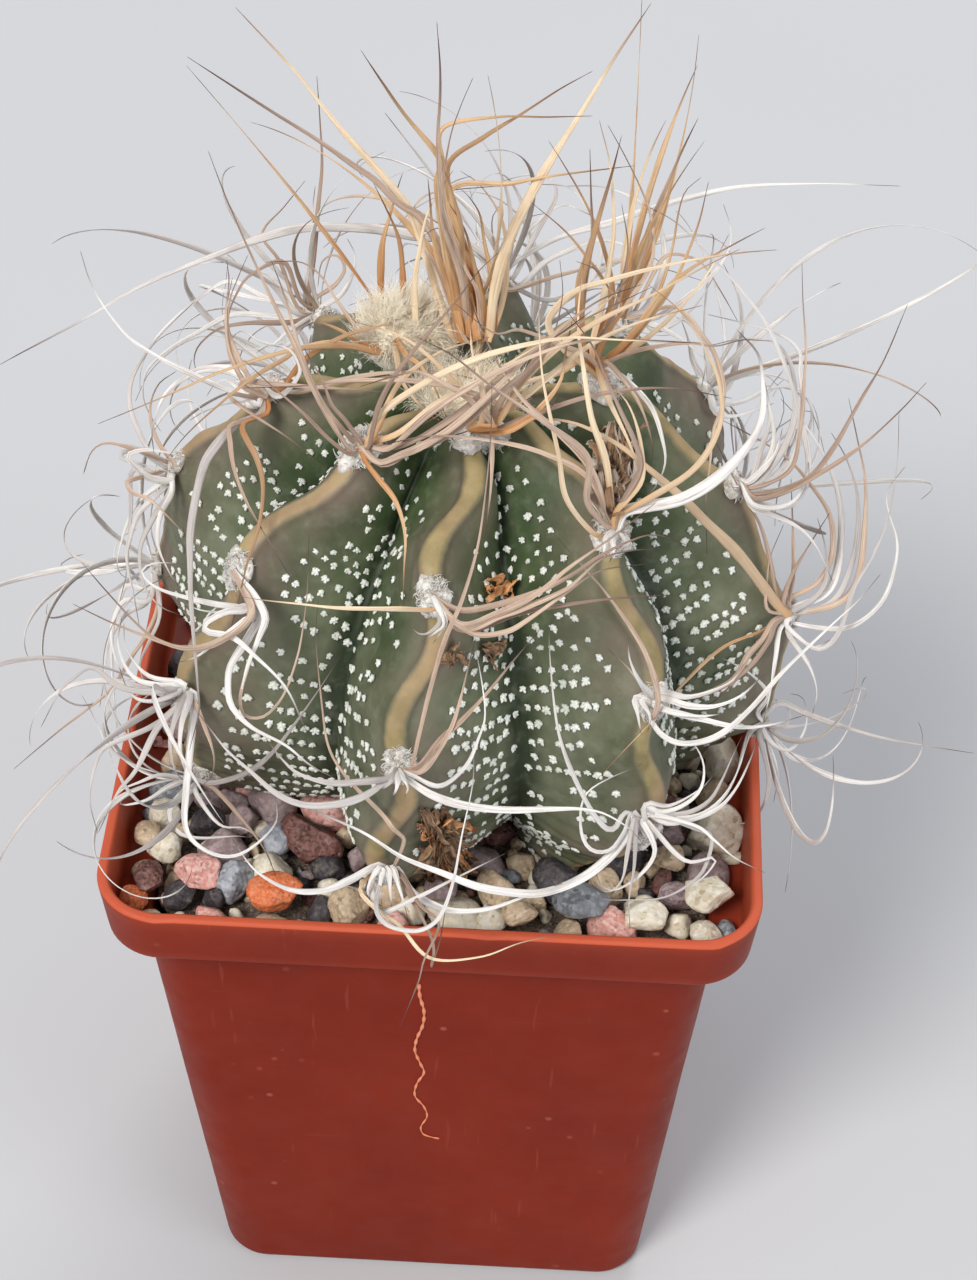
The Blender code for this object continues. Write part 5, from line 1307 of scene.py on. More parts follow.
    (3, 3, "w", 0.8, 2, 4, ((791, 622), (834, 629), (860, 622), (884, 598), (895, 566), (897, 540), (888, 510), (888, 490), (904, 468))),
    (3, 3, "w", 0.8, 4, 8, ((787, 628), (804, 642), (821, 649), (839, 632), (854, 588), (873, 555), (888, 518), (897, 464), (899, 416))),
    (3, 3, "p", 0.8, 3, 10, ((779, 604), (771, 566), (761, 527), (739, 488), (717, 444))),
    (3, 3, "p", 0.75, 2, 12, ((789, 604), (793, 577), (793, 534), (791, 480))),
    (3, 3, "p", 0.9, 2, 10, ((783, 604), (793, 573), (808, 547), (829, 514))),
    (3, 3, "p", 0.6, 2, 6, ((768, 610), (767, 579), (771, 555), (783, 526))),
    (3, 3, "c", 2.1, 14, 26, ((782, 610), (739, 555), (704, 520), (680, 496), (643, 464), (617, 444), (577, 424), (540, 419), (508, 424))),
    (3, 3, "w", 1.0, 1, 2, ((790, 612), (812, 600), (826, 580), (826, 550), (818, 520))),
    (3, 3, "p", 1.1, 4, 5, ((776, 622), (769, 640), (753, 663), (736, 680), (716, 700), (700, 708))),
    (3, 3, "p", 1.0, 4, 5, ((774, 620), (762, 640), (748, 655), (735, 678), (712, 691), (688, 697), (662, 691))),
    (3, 3, "g", 0.6, 4, 6, ((772, 624), (759, 632), (722, 648), (684, 683), (653, 720), (618, 757), (584, 794))),
    (3, 3, "w", 0.9, 3, 3, ((788, 632), (809, 665), (817, 691), (813, 712))),
    (3, 3, "w", 0.9, 3, 3, ((780, 628), (776, 655), (770, 693), (764, 719))),
    (3, 3, "w", 0.95, 2, 2, ((786, 624), (802, 640), (815, 647), (830, 640))),
    (3, 4, "w", 0.95, 2, 10, ((764, 716), (780, 703), (805, 713), (835, 724), (878, 737), (922, 745), (972, 753))),
    (3, 4, "w", 0.8, 3, 6, ((758, 712), (768, 694), (748, 672), (718, 656))),
    (3, 4, "w", 0.95, 1, 2, ((759, 734), (768, 769), (768, 791), (761, 810), (748, 823), (733, 821), (712, 812))),
    (3, 4, "w", 0.85, 1, 0, ((762, 728), (774, 745), (790, 750), (803, 734), (807, 717), (803, 698), (792, 694))),
    (3, 4, "w", 1.0, 2, 2, ((750, 732), (742, 755), (736, 775), (722, 795))),
    (3, 4, "w", 0.9, 2, 0, ((764, 724), (782, 728), (790, 718), (786, 705), (776, 700))),
    (3, 4, "w", 0.8, 0, -2, ((760, 730), (772, 752), (778, 775), (774, 800))),
    # back-right rib
    (4, 1, "w", 0.9, 0, 4, ((640, 312), (655, 318), (692, 293), (715, 272), (729, 249), (731, 229), (724, 206))),
    (4, 1, "w", 0.9, -2, -4, ((636, 314), (650, 300), (664, 260), (658, 223), (636, 200), (603, 187), (569, 186))),
    (4, 1, "w", 0.9, 0, 0, ((640, 320), (665, 330), (690, 345), (705, 362), (702, 385))),
    (4, 1, "w", 0.8, -2, -2, ((630, 310), (628, 285), (625, 260), (628, 240))),
    (4, 1, "p", 1.0, 4, 10, ((640, 316), (676, 307), (702, 335), (717, 360), (724, 397), (713, 432), (710, 464), (706, 501), (707, 552))),
    (4, 1, "w", 0.9, 0, -3, ((640, 318), (655, 330), (680, 320), (700, 300), (712, 280))),
    (4, 1, "p", 0.8, -1, 4, ((634, 312), (650, 280), (668, 255), (700, 262), (720, 290), (737, 320))),
    (4, 2, "w", 1.15, 0, 2, ((706, 388), (700, 374), (693, 360), (688, 338), (682, 322))),
    (4, 2, "w", 1.1, 0, 2, ((708, 390), (710, 372), (704, 345), (690, 325), (678, 318))),
    (4, 2, "w", 1.0, 2, 0, ((714, 392), (728, 387), (738, 355), (742, 325), (738, 295), (724, 265))),
    (4, 2, "w", 1.2, 0, -4, ((716, 412), (735, 416), (756, 410), (772, 404))),
    (4, 2, "w", 0.9, -2, -4, ((712, 396), (730, 380), (758, 374), (786, 380), (800, 396))),
    (4, 2, "w", 0.9, -2, -6, ((714, 402), (740, 402), (772, 388), (800, 390), (812, 410), (814, 432))),
    (4, 3, "w", 1.0, -2, -4, ((735, 455), (762, 438), (790, 420), (808, 408), (818, 428), (826, 460))),
    (4, 3, "w", 0.9, -2, -4, ((735, 460), (770, 440), (784, 410), (778, 385), (760, 372))),
    # fine crossing spines over the crown
    (8, 1, "c", 1.25, 4, 6, ((395, 435), (440, 402), (491, 375), (545, 343), (595, 312), (636, 271))),
    (8, 1, "p", 1.2, 5, 7, ((400, 446), (455, 416), (518, 362), (580, 322), (650, 288))),
    (8, 1, "p", 1.1, 2, 2, ((352, 440), (320, 400), (300, 350), (286, 300), (272, 262))),
    (8, 1, "c", 1.1, 2, 3, ((372, 440), (384, 412), (402, 380), (440, 352), (486, 338))),
    (1, 1, "c", 1.2, 4, 5, ((505, 412), (545, 380), (590, 345), (640, 322), (700, 306))),
    (1, 1, "p", 1.1, 4, 6, ((500, 408), (470, 392), (425, 382), (360, 380), (300, 386), (245, 388))),
    (1, 1, "c", 1.0, 3, 3, ((476, 410), (452, 380), (424, 352), (396, 334), (356, 322))),
    (1, 1, "p", 1.0, 3, 4, ((492, 430), (540, 412), (600, 394), (668, 388), (730, 398))),
    (1, 1, "p", 1.0, 2, 3, ((488, 424), (492, 450), (491, 486), (486, 530))),
    (2, 1, "p", 1.2, 4, 4, ((590, 468), (555, 430), (520, 396), (492, 352), (470, 300))),
    (2, 1, "c", 1.2, 3, 4, ((606, 462), (592, 420), (584, 372), (578, 320), (584, 260))),
    (2, 1, "p", 1.0, 3, 5, ((588, 478), (540, 452), (486, 440), (430, 436), (378, 446))),
    (3, 1, "c", 1.1, 3, 4, ((590, 356), (560, 372), (520, 384), (470, 398), (424, 424))),
    (3, 1, "p", 1.0, 2, 3, ((598, 350), (612, 318), (622, 284), (628, 246), (622, 206))),
    (3, 1, "c", 1.1, 3, 3, ((612, 358), (644, 340), (676, 312), (706, 276), (728, 236))),
    (7, 1, "p", 1.0, 3, 3, ((296, 392), (340, 380), (396, 372), (452, 374), (506, 388))),
    (7, 1, "g", 1.0, 3, 3, ((280, 390), (304, 360), (344, 336), (392, 322), (436, 300))),
    (7, 1, "p", 0.9, 2, 2, ((262, 398), (240, 360), (226, 318), (232, 280))),
)


def placed_spines(tree):
    """Every placed spine as (rib, areole, kind, width, points in mm), kept clear of the stem."""
    out = []
    for rib, number, kind, width, mid, end, pts in SPINES:
        p0, n0, d0, s0, u0 = areole(rib, number)
        root = p0 + n0 * 0.9
        z0 = near_of(root)
        xy = np.array(pts, float)
        # arc position of each point, counting from the root's own place in the frame
        rx = CAM_POS - root
        q = root - CAM_POS
        depth = -(q @ _back)
        start = np.array([FRAME_W / 2 + FOCAL * (q @ CAM_X) / depth,
                          FRAME_H / 2 - FOCAL * (q @ CAM_Y) / depth])
        whole = np.vstack([start, xy])
        line, _ = curve(np.column_stack([whole, np.zeros(len(whole))]), 40)
        line = line[:, :2]
        s = np.linspace(0, 1, 40)
        near = z0 + 4 * s * (1 - s) * mid + end * s
        need = np.full(40, -1e9)
        for i in range(1, 40):
            ray = at(line[i, 0], line[i, 1], 60.0) - CAM_POS
            ray /= np.linalg.norm(ray)
            hit, hn, _, _ = tree.ray_cast(Vector(CAM_POS), Vector(ray))
            if hit is not None:
                clear = 0.5 + width * 0.5 + 2.2 * smooth(s[i], 0.02, 0.25)
                need[i] = near_of(np.array(hit)) + clear
        lifted = np.maximum(near, need)
        for _ in range(30):
            sm = lifted.copy()
            sm[1:-1] = (lifted[:-2] + 2 * lifted[1:-1] + lifted[2:]) / 4
            sm[-1] = lifted[-1] * 0.6 + lifted[-2] * 0.4
            lifted = np.maximum(sm, need)
            lifted[0] = z0
        path = np.array([root] + [at(line[i, 0], line[i, 1], lifted[i]) for i in range(1, 40)])
        out.append((rib, number, kind, width, path))
    return out


def inside(tree, p, margin):
    hit, n, _, dist = tree.find_nearest(Vector(p))
    if hit is None:
        return False
    return (Vector(p) - hit).dot(n) < 0 and dist < 30 or dist < margin


def in_room(p, lo, hi):
    return np.all(p > lo) and np.all(p < hi)


def pot_blocks(p):
    """True below the gravel, or inside the pot's walls."""
    x, y, z = p
    r = max(abs(x), abs(y))
    if z < 94.0 and r < 43.8:
        return True
    if 43.0 < r < 46.0 and z < 100.6:
        return True
    return z < 99 and r < 45.5 and z > 88


def grown_spine(rng, tree, rib, number, old, lo, hi, style):
    """A spine curling freely out of an areole; None if no clear way is found."""
    p0, n0, d0, s0, u0 = areole(rib, number)
    for _ in range(26):
        a = rng.uniform(0, 2 * np.pi)
        tilt = rng.uniform(0.35, 1.25)
        out = n0 * math.cos(tilt) + (d0 * math.cos(a) + s0 * math.sin(a)) * math.sin(tilt)
        if style == "young":
            out = out + np.array([0, 0, 0.7])
            bend, L, W = rng.uniform(0.2, 1.1), rng.uniform(22, 44), rng.uniform(0.8, 1.5)
        elif style == "mid":
            bend, L, W = rng.uniform(1.2, 3.2), rng.uniform(28, 50), rng.uniform(0.75, 1.25)
        else:
            bend, L, W = rng.uniform(2.0, 4.2), rng.uniform(24, 46), rng.uniform(0.7, 1.25)
        out /= np.linalg.norm(out)
        axis = np.cross(out, rng.normal(size=3))
        axis /= np.linalg.norm(axis) + 1e-9
        k = 26
        dirs, p = out.copy(), p0 + n0 * 0.9
        path = [p.copy()]
        drift = rng.normal(size=3) * 0.02
        ok = True
        for i in range(k):
            ang = bend / k * (0.5 + 1.1 * i / k)
            c, s = math.cos(ang), math.sin(ang)
            dirs = dirs * c + np.cross(axis, dirs) * s + axis * (axis @ dirs) * (1 - c)
            dirs = dirs + drift
            dirs /= np.linalg.norm(dirs)
            p = p + dirs * L / k
            path.append(p.copy())
            if i > 2 and (i % 2 == 0) and (inside(tree, p, 0.9) or pot_blocks(p) or not in_room(p, lo, hi)):
                ok = False
                break
        if ok:
            return np.array(path), W
    return None


def felt_cushion(b, rng, rib, number, size=1.0, fibres=70, wool=False, mat=0):
    """A matted cushion of hair with loose ends."""
    p, n, d, s, u = areole(rib, number)
    a0, b0, h0 = 2.45 * size, 1.95 * size, 1.15 * size
    rows, cols = 13, 30
    V, data = [], []
    th = 2 * np.pi * np.arange(cols) / cols
    for i in range(rows):
        ph = (i / (rows - 1)) * 0.62 * math.pi
        rr, hh = math.sin(ph), math.cos(ph)
        ring = (p[None] - n * 0.35 + (d[None] * (a0 * rr * np.cos(th))[:, None])
                + (s[None] * (b0 * rr * np.sin(th))[:, None]) + n[None] * (h0 * hh))
        lump = 0.34 * fbm(ring * 0.9 / size, 40 + rib * 7 + number, 3)
        lump = lump + 0.20 * vnoise(ring * 2.6 / size, 90 + rib)
        lump = lump + 0.16 * np.sin(3 * th + rib * 1.7 + number) + 0.10 * np.sin(5 * th + rib)
        ring = ring + (ring - (p - n * 0.6)) * (lump * 0.70)[:, None]
        V.append(ring)
        # painted shade: the felt darkens from the cushion's top down its sides to the stem
        data.append(np.tile([[0.15 + 0.5 * (i / rows), 0, 0, 0]], (cols, 1)))
    V, data = np.vstack(V), np.vstack(data)
    b.add(V, grid_faces(rows, cols)[:, ::-1], None, mat, data)
    for _ in range(fibres):
        th1, ph = rng.uniform(0, 2 * np.pi), rng.uniform(0.1, 0.5) * math.pi
        rr, hh = math.sin(ph), math.cos(ph)
        o = p - n * 0.35 + d * (a0 * rr * math.cos(th1)) + s * (b0 * rr * math.sin(th1)) + n * (h0 * hh)
        out = o - (p - n * 0.8)
        out /= np.linalg.norm(out)
        w = rng.normal(size=3)
        L = rng.uniform(0.3, 0.75) * size
        w = (w - out * (w @ out)) * 0.8
        q = [o - out * 0.3, o + out * L * 0.28 + w * 0.22, o + out * L * 0.40 + w * 0.55]
        add_hair(b, q, rng.uniform(0.08, 0.15), mat, rng)


def add_hair(b, pts, radius, mat, rng, steps=5):
    p, length = curve(np.array(pts), steps)
    t, side, up = frames_along(p, rng.normal(size=3))
    w = radius * (1 - 0.75 * np.linspace(0, 1, steps) ** 1.5)
    a = 2 * np.pi * np.arange(3) / 3
    V = (p[:, None] + side[:, None] * (w[:, None] * np.cos(a))[..., None]
         + up[:, None] * (w[:, None] * np.sin(a))[..., None]).reshape(-1, 3)
    tris = np.array([[0, 2, 1], [steps * 3 - 3, steps * 3 - 2, steps * 3 - 1]])
    b.add(V, grid_faces(steps, 3), tris, mat, np.tile([[rng.random() * 0.6, 0, 0, 0]], (len(V), 1)))


def build_clusters(stem):
    tree = tree_of(stem)
    rng = np.random.default_rng(11)
    lo = np.array(CAD_BOX[0]) / MM - 6
    hi = np.array(CAD_BOX[1]) / MM + 6
    placed = placed_spines(tree)
    seen = {(r, k): [] for r in range(1, 9) for k in range(1, AREOLES_ON_RIB[r - 1] + 1)}
    for rib, number, kind, width, path in placed:
        number = min(number, AREOLES_ON_RIB[rib - 1])
        seen[rib, number].append((kind, width, path))
    want = {1: 10, 2: 11, 3: 14, 4: 13}
    for (rib, number), mine in seen.items():
        name = f"spine_cluster_rib{rib}_{number}"
        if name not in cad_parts:
            continue
        b = Build()
        size = 1.06 if number > 1 else 1.2
        if (rib, number) in ((6, 1), (8, 1)):
            size = 1.34
        felt_cushion(b, rng, rib, number, size, 240, mat=4)
        seed = rib * 100 + number * 10
        for i, (kind, width, path) in enumerate(mine):
            slim = {"w": 0.92, "p": 0.74 if number == 1 else 0.86, "g": 0.78, "c": 0.78}[kind]
            add_spine(b, path, width * slim, KIND[kind], seed * 7 + i, face=_back,
                      turn=rng.uniform(-0.5, 0.5))
        style = "young" if number == 1 else ("mid" if number == 2 else "old")
        extra = max(0, want[number] - len(mine))
        if rib in (1, 2, 8) and len(mine) >= 3 and (number < 3 or rib == 1):
            extra = 0
        back_side = rib in (4, 5, 6) and number > 1
        if back_side or (rib in (4,) ):
            extra = max(extra, 6)
        if rib == 5 and number == 1:
            extra = 2
        for i in range(extra):
            got = grown_spine(rng, tree, rib, number, number > 1, lo, hi, style)
            if got is None:
                continue
            path, W = got
            kind = {"young": "gpcg", "mid": "wpww", "old": "wwww"}[style][rng.integers(0, 4)]
            add_spine(b, path, W, KIND[kind], seed * 13 + i, face=areole(rib, number)[1],
                      turn=rng.uniform(-1.2, 1.2))
        b.object(f"spines_rib{rib}_{number}", [MATS[m] for m in SPINE_MATS] + [MATS["felt"]],
                 slot="young_spines" if number == 1 else "old_spines", replaces=[name])
    return tree


# --------------------------------------------------------------- crown wool


def build_wool(tree):
    rng = np.random.default_rng(23)
    b = Build()
    mounds = ((at(470, 400, 0), (7.6, 5.0, 3.0), 2600, 1.0), (at(404, 340, 0), (5.6, 4.6, 5.4), 3200, 1.25))
    for centre, (rx, ry, rz), count, reach in mounds:
        hit, n, _, _ = tree.ray_cast(Vector(CAM_POS), (Vector(centre) - Vector(CAM_POS)).normalized())
        c = np.array(hit) if hit is not None else np.asarray(centre)
        c = c + np.array([0, 1.0, -0.6])
        rows, cols = 18, 40
        th = 2 * np.pi * np.arange(cols) / cols
        V = []
        for i in range(rows):
            ph = i / (rows - 1) * 0.72 * math.pi
            ring = c + 0.9 * np.stack([rx * math.sin(ph) * np.cos(th), ry * math.sin(ph) * np.sin(th),
                                       np.full(cols, rz * math.cos(ph))], 1)
            lump = 0.22 * fbm(ring / 2.6, 71, 3)
            V.append(ring + (ring - c) * lump[:, None])
        V = np.vstack(V)
        b.add(V, grid_faces(rows, cols)[:, ::-1], None, 0,
              np.tile([[0.4, 0, 0, 0]], (len(V), 1)))
        th1 = rng.uniform(0, 2 * np.pi, count)
        ph = np.arccos(rng.uniform(-0.2, 1.0, count))
        O = c + np.stack([rx * np.sin(ph) * np.cos(th1), ry * np.sin(ph) * np.sin(th1),
                          rz * np.cos(ph)], 1)
        # neighbouring hairs lean the same way, which gathers them into locks
        F = np.stack([fbm(O / 1.7, 81 + k, 2) for k in range(3)], 1) * 2.2
        for o, flow in zip(O, F):
            out = (o - c) / np.array([rx, ry, rz]) ** 1.2
            out /= np.linalg.norm(out)
            lay = flow - out * (flow @ out) + np.array([0.0, 0.0, 0.55])
            w = rng.normal(size=3) * 0.22
            L = rng.uniform(1.2, 3.0) * reach
            start = o - out * rng.uniform(0.5, 1.3)
            pts = [start, start + out * 0.42 * L + lay * 0.20 * L,
                   start + out * 0.62 * L + lay * 0.48 * L + w * 0.4 * L,
                   start + out * 0.72 * L + lay * 0.80 * L + w * 0.9 * L]
            add_hair(b, pts, rng.uniform(0.030, 0.055), 0, rng, 6)
    # the pale felt lip at the top of the front rib
    o = at(478, 441, 0)
    hit, n, _, _ = tree.ray_cast(Vector(CAM_POS), (Vector(o) - Vector(CAM_POS)).normalized())
    c = np.array(hit) + _back * 0.3
    lip = Build()
    rows, cols = 22, 20
    th = 2 * np.pi * np.arange(cols) / cols
    V = []
    for i in range(rows):
        t = i / (rows - 1) * 2 - 1
        fat = math.sqrt(max(0.0, 1 - abs(t) ** 2.6))
        mid = c + CAM_X * (5.8 * t) + CAM_Y * (0.5 - 0.9 * t * t + 0.6 * math.sin(3 * t)) + _back * (0.6 - 1.2 * t * t)
        ring = mid + (CAM_Y * (1.75 * fat * np.cos(th))[:, None]) + (_back * (1.3 * fat * np.sin(th))[:, None])
        ring = ring + (ring - mid) * (0.45 * fbm(ring / 0.9, 77, 3))[:, None]
        V.append(ring)
    V = np.vstack(V)
    lip.add(V, grid_faces(rows, cols), None, 0, np.tile([[0.35, 0, 0, 0]], (len(V), 1)))
    for _ in range(260):
        t = rng.uniform(-1, 1)
        a = rng.uniform(-2.4, 0.9)
        o = c + CAM_X * (5.8 * t) + CAM_Y * (0.5 - 0.9 * t * t + 1.5 * math.sin(a)) + _back * (0.6 - 1.2 * t * t + 1.0 * math.cos(a))
        out = CAM_Y * math.sin(a) + _back * math.cos(a) * 0.6
        w = rng.normal(size=3) * 0.35
        L = rng.uniform(0.4, 1.0)
        add_hair(lip, [o - out * 0.3, o + out * L * 0.5 + w * 0.3, o + out * L * 0.8 + w], 0.08, 0, rng)
    lip.object("felt_lip", [MATS["felt"]], slot="wool")
    b.object("crown_wool_hair", [MATS["wool"]], slot="wool", replaces=["crown_wool"])


# ---------------------------------------------------------- withered flowers


def add_strip(b, path, width, mat, seed, crumple=0.4, thick=0.10):
    """A dry, crumpled strip with a real thickness."""
    p, length = curve(path, 18)
    t, side, up = frames_along(p, np.random.default_rng(seed).normal(size=3))
    rs = np.random.default_rng(seed + 1)
    s = np.linspace(0, 1, 18)
    tw = rs.uniform(-2.5, 2.5) * s + rs.uniform(0, 6)
    c, sn = np.cos(tw)[:, None], np.sin(tw)[:, None]
    side, up = side * c + up * sn, up * c - side * sn
    w = width / 2 * (0.55 + 0.45 * np.sin(np.pi * s ** 0.7)) * (1 + 0.3 * np.sin(s * 17 + seed))
    k = 7
    rows = []
    for f in (1, -1):
        for j in range(k):
            x = (j / (k - 1) * 2 - 1) * f
            base = p + side * (w * x)[:, None]
            fold = up * (0.35 * width * x * x * math.sin(seed) + f * thick / 2)
            n = fbm(base / 1.3, seed % 97, 2) * crumple * width * 0.5
            rows.append(base + fold + up * n[:, None])
    V = np.stack(rows, 1)                      # 18 x 14 x 3
    n, m = V.shape[:2]
    data = np.zeros((n, m, 4))
    data[..., 0] = np.abs(np.linspace(-1, 1, m))[None]
    data[..., 1] = s[:, None]
    data[..., 2] = rs.random()
    j = np.arange(m)
    caps = []
    for e in range(k - 1):
        o = m - 1 - e
        caps += [(e, e + 1, o - 1, o)]
    first = [tuple(c) for c in caps]
    last = [tuple((n - 1) * m + i for i in c[::-1]) for c in caps]
    quads = np.vstack([grid_faces(n, m), np.array(first), np.array(last)])
    b.add(V.reshape(-1, 3), quads[:, ::-1], None, mat, data.reshape(-1, 4))


def dry_material(name, a, b_, c):
    n = Nodes(name)
    across, along, tone, _ = n.data()
    p = n.where()
    v = n.combine(n.math("MULTIPLY", across, 9.0), n.math("MULTIPLY", along, 1.4),
                  n.math("MULTIPLY", tone, 29.0))
    st = n.noise(v, 1.0, 4.0, 0.65)
    base = n.mix(n.ramp(st, ((0.38, 0.0), (0.60, 1.0))), a, b_)
    base = n.mix(n.ramp(n.noise(p, 420.0, 4.0), ((0.50, 0.0), (0.66, 0.9))), base, c)
    return n.finish(base, 0.85, n.bump(st, 0.7, 0.15), Specular_IOR_Level=0.25,
                    Subsurface_Weight=0.05, Subsurface_Scale=0.0006)


def build_flowers(tree):
    MATS["dry_grey"] = dry_material("dry_flower_grey", srgb(150, 130, 116), srgb(220, 206, 190), srgb(88, 68, 56))
    MATS["dry_brown"] = dry_material("dry_flower_brown", srgb(110, 84, 62), srgb(168, 136, 106), srgb(50, 34, 24))
    MATS["dry_orange"] = dry_material("dry_flower_orange", srgb(186, 120, 70), srgb(222, 170, 120), srgb(110, 62, 34))
    mats = [MATS["dry_grey"], MATS["dry_brown"], MATS["dry_orange"]]
    rng = np.random.default_rng(31)

    def on(x, y, up=0.5):
        ray = at(x, y, 60.0) - CAM_POS
        hit, n, _, _ = tree.ray_cast(Vector(CAM_POS), Vector(ray).normalized())
        if hit is None:
            return at(x, y, 0.0)
        return np.array(hit) + _back * up
    # right: a papery crumpled tube standing on the front-right rib
    b = Build()
    for i in range(34):
        x0 = rng.uniform(596, 632)
        y0, y1 = rng.uniform(496, 520), rng.uniform(424, 470)
        lean_x = rng.uniform(-8, 8)
        lift = rng.uniform(1.0, 6.0)
        pts = [on(x0 * 0.3 + 612 * 0.7, y0, 0.6),
               on(x0, y0 * 0.6 + y1 * 0.4, lift * 0.9),
               on(x0 + lean_x * 0.6, y0 * 0.25 + y1 * 0.75, lift),
               on(x0 + lean_x, y1, lift * 0.6 + rng.uniform(0, 2))]
        add_strip(b, pts, rng.uniform(1.1, 3.0), 0 if rng.random() < 0.62 else 1, 300 + i, 0.7)
    for i in range(26):
        x0, y0 = rng.uniform(600, 636), rng.uniform(430, 516)
        pts = [on(x0, y0, 2.0), on(x0 + rng.uniform(-10, 10), y0 + rng.uniform(-10, 10), 4.5),
               on(x0 + rng.uniform(-14, 14), y0 + rng.uniform(-14, 14), 3.0)]
        add_strip(b, pts, rng.uniform(0.5, 1.3), 1 if rng.random() < 0.6 else 0, 400 + i, 0.8)
    b.object("withered_flower_papery", mats, slot="withered_flower", replaces=["withered_flower_right"])
    # front: crumbs of dried petal at the middle areole of the front rib
    b = Build()
    for i in range(22):
        cx, cy, m = ((500, 588, 2), (498, 650, 1), (453, 655, 1))[i % 3]
        x0, y0 = cx + rng.uniform(-14, 14) * (1.0 if i % 3 == 0 else 0.5), cy + rng.uniform(-7, 9)
        pts = [on(x0, y0, 0.8), on(x0 + rng.uniform(-8, 8), y0 + rng.uniform(-8, 4), 2.2),
               on(x0 + rng.uniform(-12, 12), y0 + rng.uniform(-8, 12), 1.6)]
        add_strip(b, pts, rng.uniform(0.5, 1.5), m, 500 + i, 0.8)
    b.object("withered_flower_crumbs", mats, slot="withered_flower", replaces=["withered_flower_front"])
    # foot: a fibrous brown husk hanging in the groove to the gravel
    b = Build()
    for i in range(58):
        x0, y0 = rng.uniform(420, 470), rng.uniform(815, 880)
        pts = [on(432 + rng.uniform(-14, 14), 812 + rng.uniform(-6, 22), 0.8),
               on(x0 * 0.5 + 222, y0 * 0.6 + 330, rng.uniform(1.0, 4.0)),
               on(x0, y0, rng.uniform(0.8, 4.0)),
               on(x0 + rng.uniform(-10, 12), y0 + rng.uniform(-8, 12), rng.uniform(0.5, 3.0))]
        add_strip(b, pts, rng.uniform(0.35, 1.5), 1 if rng.random() < 0.8 else 2, 600 + i, 0.9)
    b.object("withered_flower_husk", mats, slot="withered_flower", replaces=["withered_flower_foot"])


# ------------------------------------------------------------------ gravel


def icosphere(level):
    t = (1 + 5 ** 0.5) / 2
    v = [(-1, t, 0), (1, t, 0), (-1, -t, 0), (1, -t, 0), (0, -1, t), (0, 1, t), (0, -1, -t),
         (0, 1, -t), (t, 0, -1), (t, 0, 1), (-t, 0, -1), (-t, 0, 1)]
    f = [(0, 11, 5), (0, 5, 1), (0, 1, 7), (0, 7, 10), (0, 10, 11), (1, 5, 9), (5, 11, 4),
         (11, 10, 2), (10, 7, 6), (7, 1, 8), (3, 9, 4), (3, 4, 2), (3, 2, 6), (3, 6, 8), (3, 8, 9),
         (4, 9, 5), (2, 4, 11), (6, 2, 10), (8, 6, 7), (9, 8, 1)]
    v = [np.array(p) / np.linalg.norm(p) for p in v]
    for _ in range(level):
        seen, out = {}, []

        def mid(a, b):
            k = (min(a, b), max(a, b))
            if k not in seen:
                m = v[a] + v[b]
                v.append(m / np.linalg.norm(m))
                seen[k] = len(v) - 1
            return seen[k]
        for a, b, c in f:
            ab, bc, ca = mid(a, b), mid(b, c), mid(c, a)
            out += [(a, ab, ca), (b, bc, ab), (c, ca, bc), (ab, bc, ca)]
        f = out
    return np.array(v), np.array(f)


ICO = {k: icosphere(k) for k in (2, 3, 4)}


def stone_shape(rng, level, seed, angular=0.75, rough=0.05):
    """A broken, slightly rounded stone about one unit in radius."""
    v, f = ICO[level]
    planes = rng.normal(size=(int(rng.integers(9, 15)), 3))
    planes /= np.linalg.norm(planes, axis=1)[:, None]
    dist = rng.uniform(0.70, 0.98, len(planes))
    r = np.full(len(v), 1.15)
    for n, h in zip(planes, dist):
        c = v @ n
        cut = np.where(c > 0.05, h / np.maximum(c, 0.05), 9.0)
        k = 16.0 * angular + 5
        r = -np.log(np.exp(-k * np.minimum(r, 3)) + np.exp(-k * np.minimum(cut, 3))) / k
    p = v * r[:, None]
    p = p * (1 + rough * fbm(v * 2.3 + seed * 1.7, seed, 3) + rough * 0.5 * vnoise(v * 9 + seed, seed))[:, None]
    return p, f


def turned(rng, p, scale):
    q = rng.normal(size=4)
    q /= np.linalg.norm(q)
    w, x, y, z = q
    R = np.array([[1 - 2 * (y * y + z * z), 2 * (x * y - z * w), 2 * (x * z + y * w)],
                  [2 * (x * y + z * w), 1 - 2 * (x * x + z * z), 2 * (y * z - x * w)],
                  [2 * (x * z - y * w), 2 * (y * z + x * w), 1 - 2 * (x * x + y * y)]])
    return (p * scale) @ R.T


def inner_half(z):
    """Half width of the space inside the pot at height z, mm."""
    foot = POT_HEIGHT - COLLAR_HEIGHT
    if z > foot + WALL:
        return (COLLAR_FOOT_WIDTH + (RIM_WIDTH - COLLAR_FOOT_WIDTH) * (z - foot) / COLLAR_HEIGHT) / 2 - WALL
    return (BASE_WIDTH + (BODY_TOP_WIDTH - BASE_WIDTH) * z / foot) / 2 - WALL


def inside_wall(p):
    """Flattens a stone where it would stick out through the pot's wall."""
    lim = np.array([inner_half(z) for z in p[:, 2]])[:, None] - 0.12
    p[:, :2] = np.clip(p[:, :2], -lim, lim)
    return p


def in_square(x, y, half, radius):
    ax, ay = abs(x), abs(y)
    if ax > half or ay > half:
        return False
    cx, cy = ax - (half - radius), ay - (half - radius)
    return not (cx > 0 and cy > 0 and math.hypot(cx, cy) > radius)


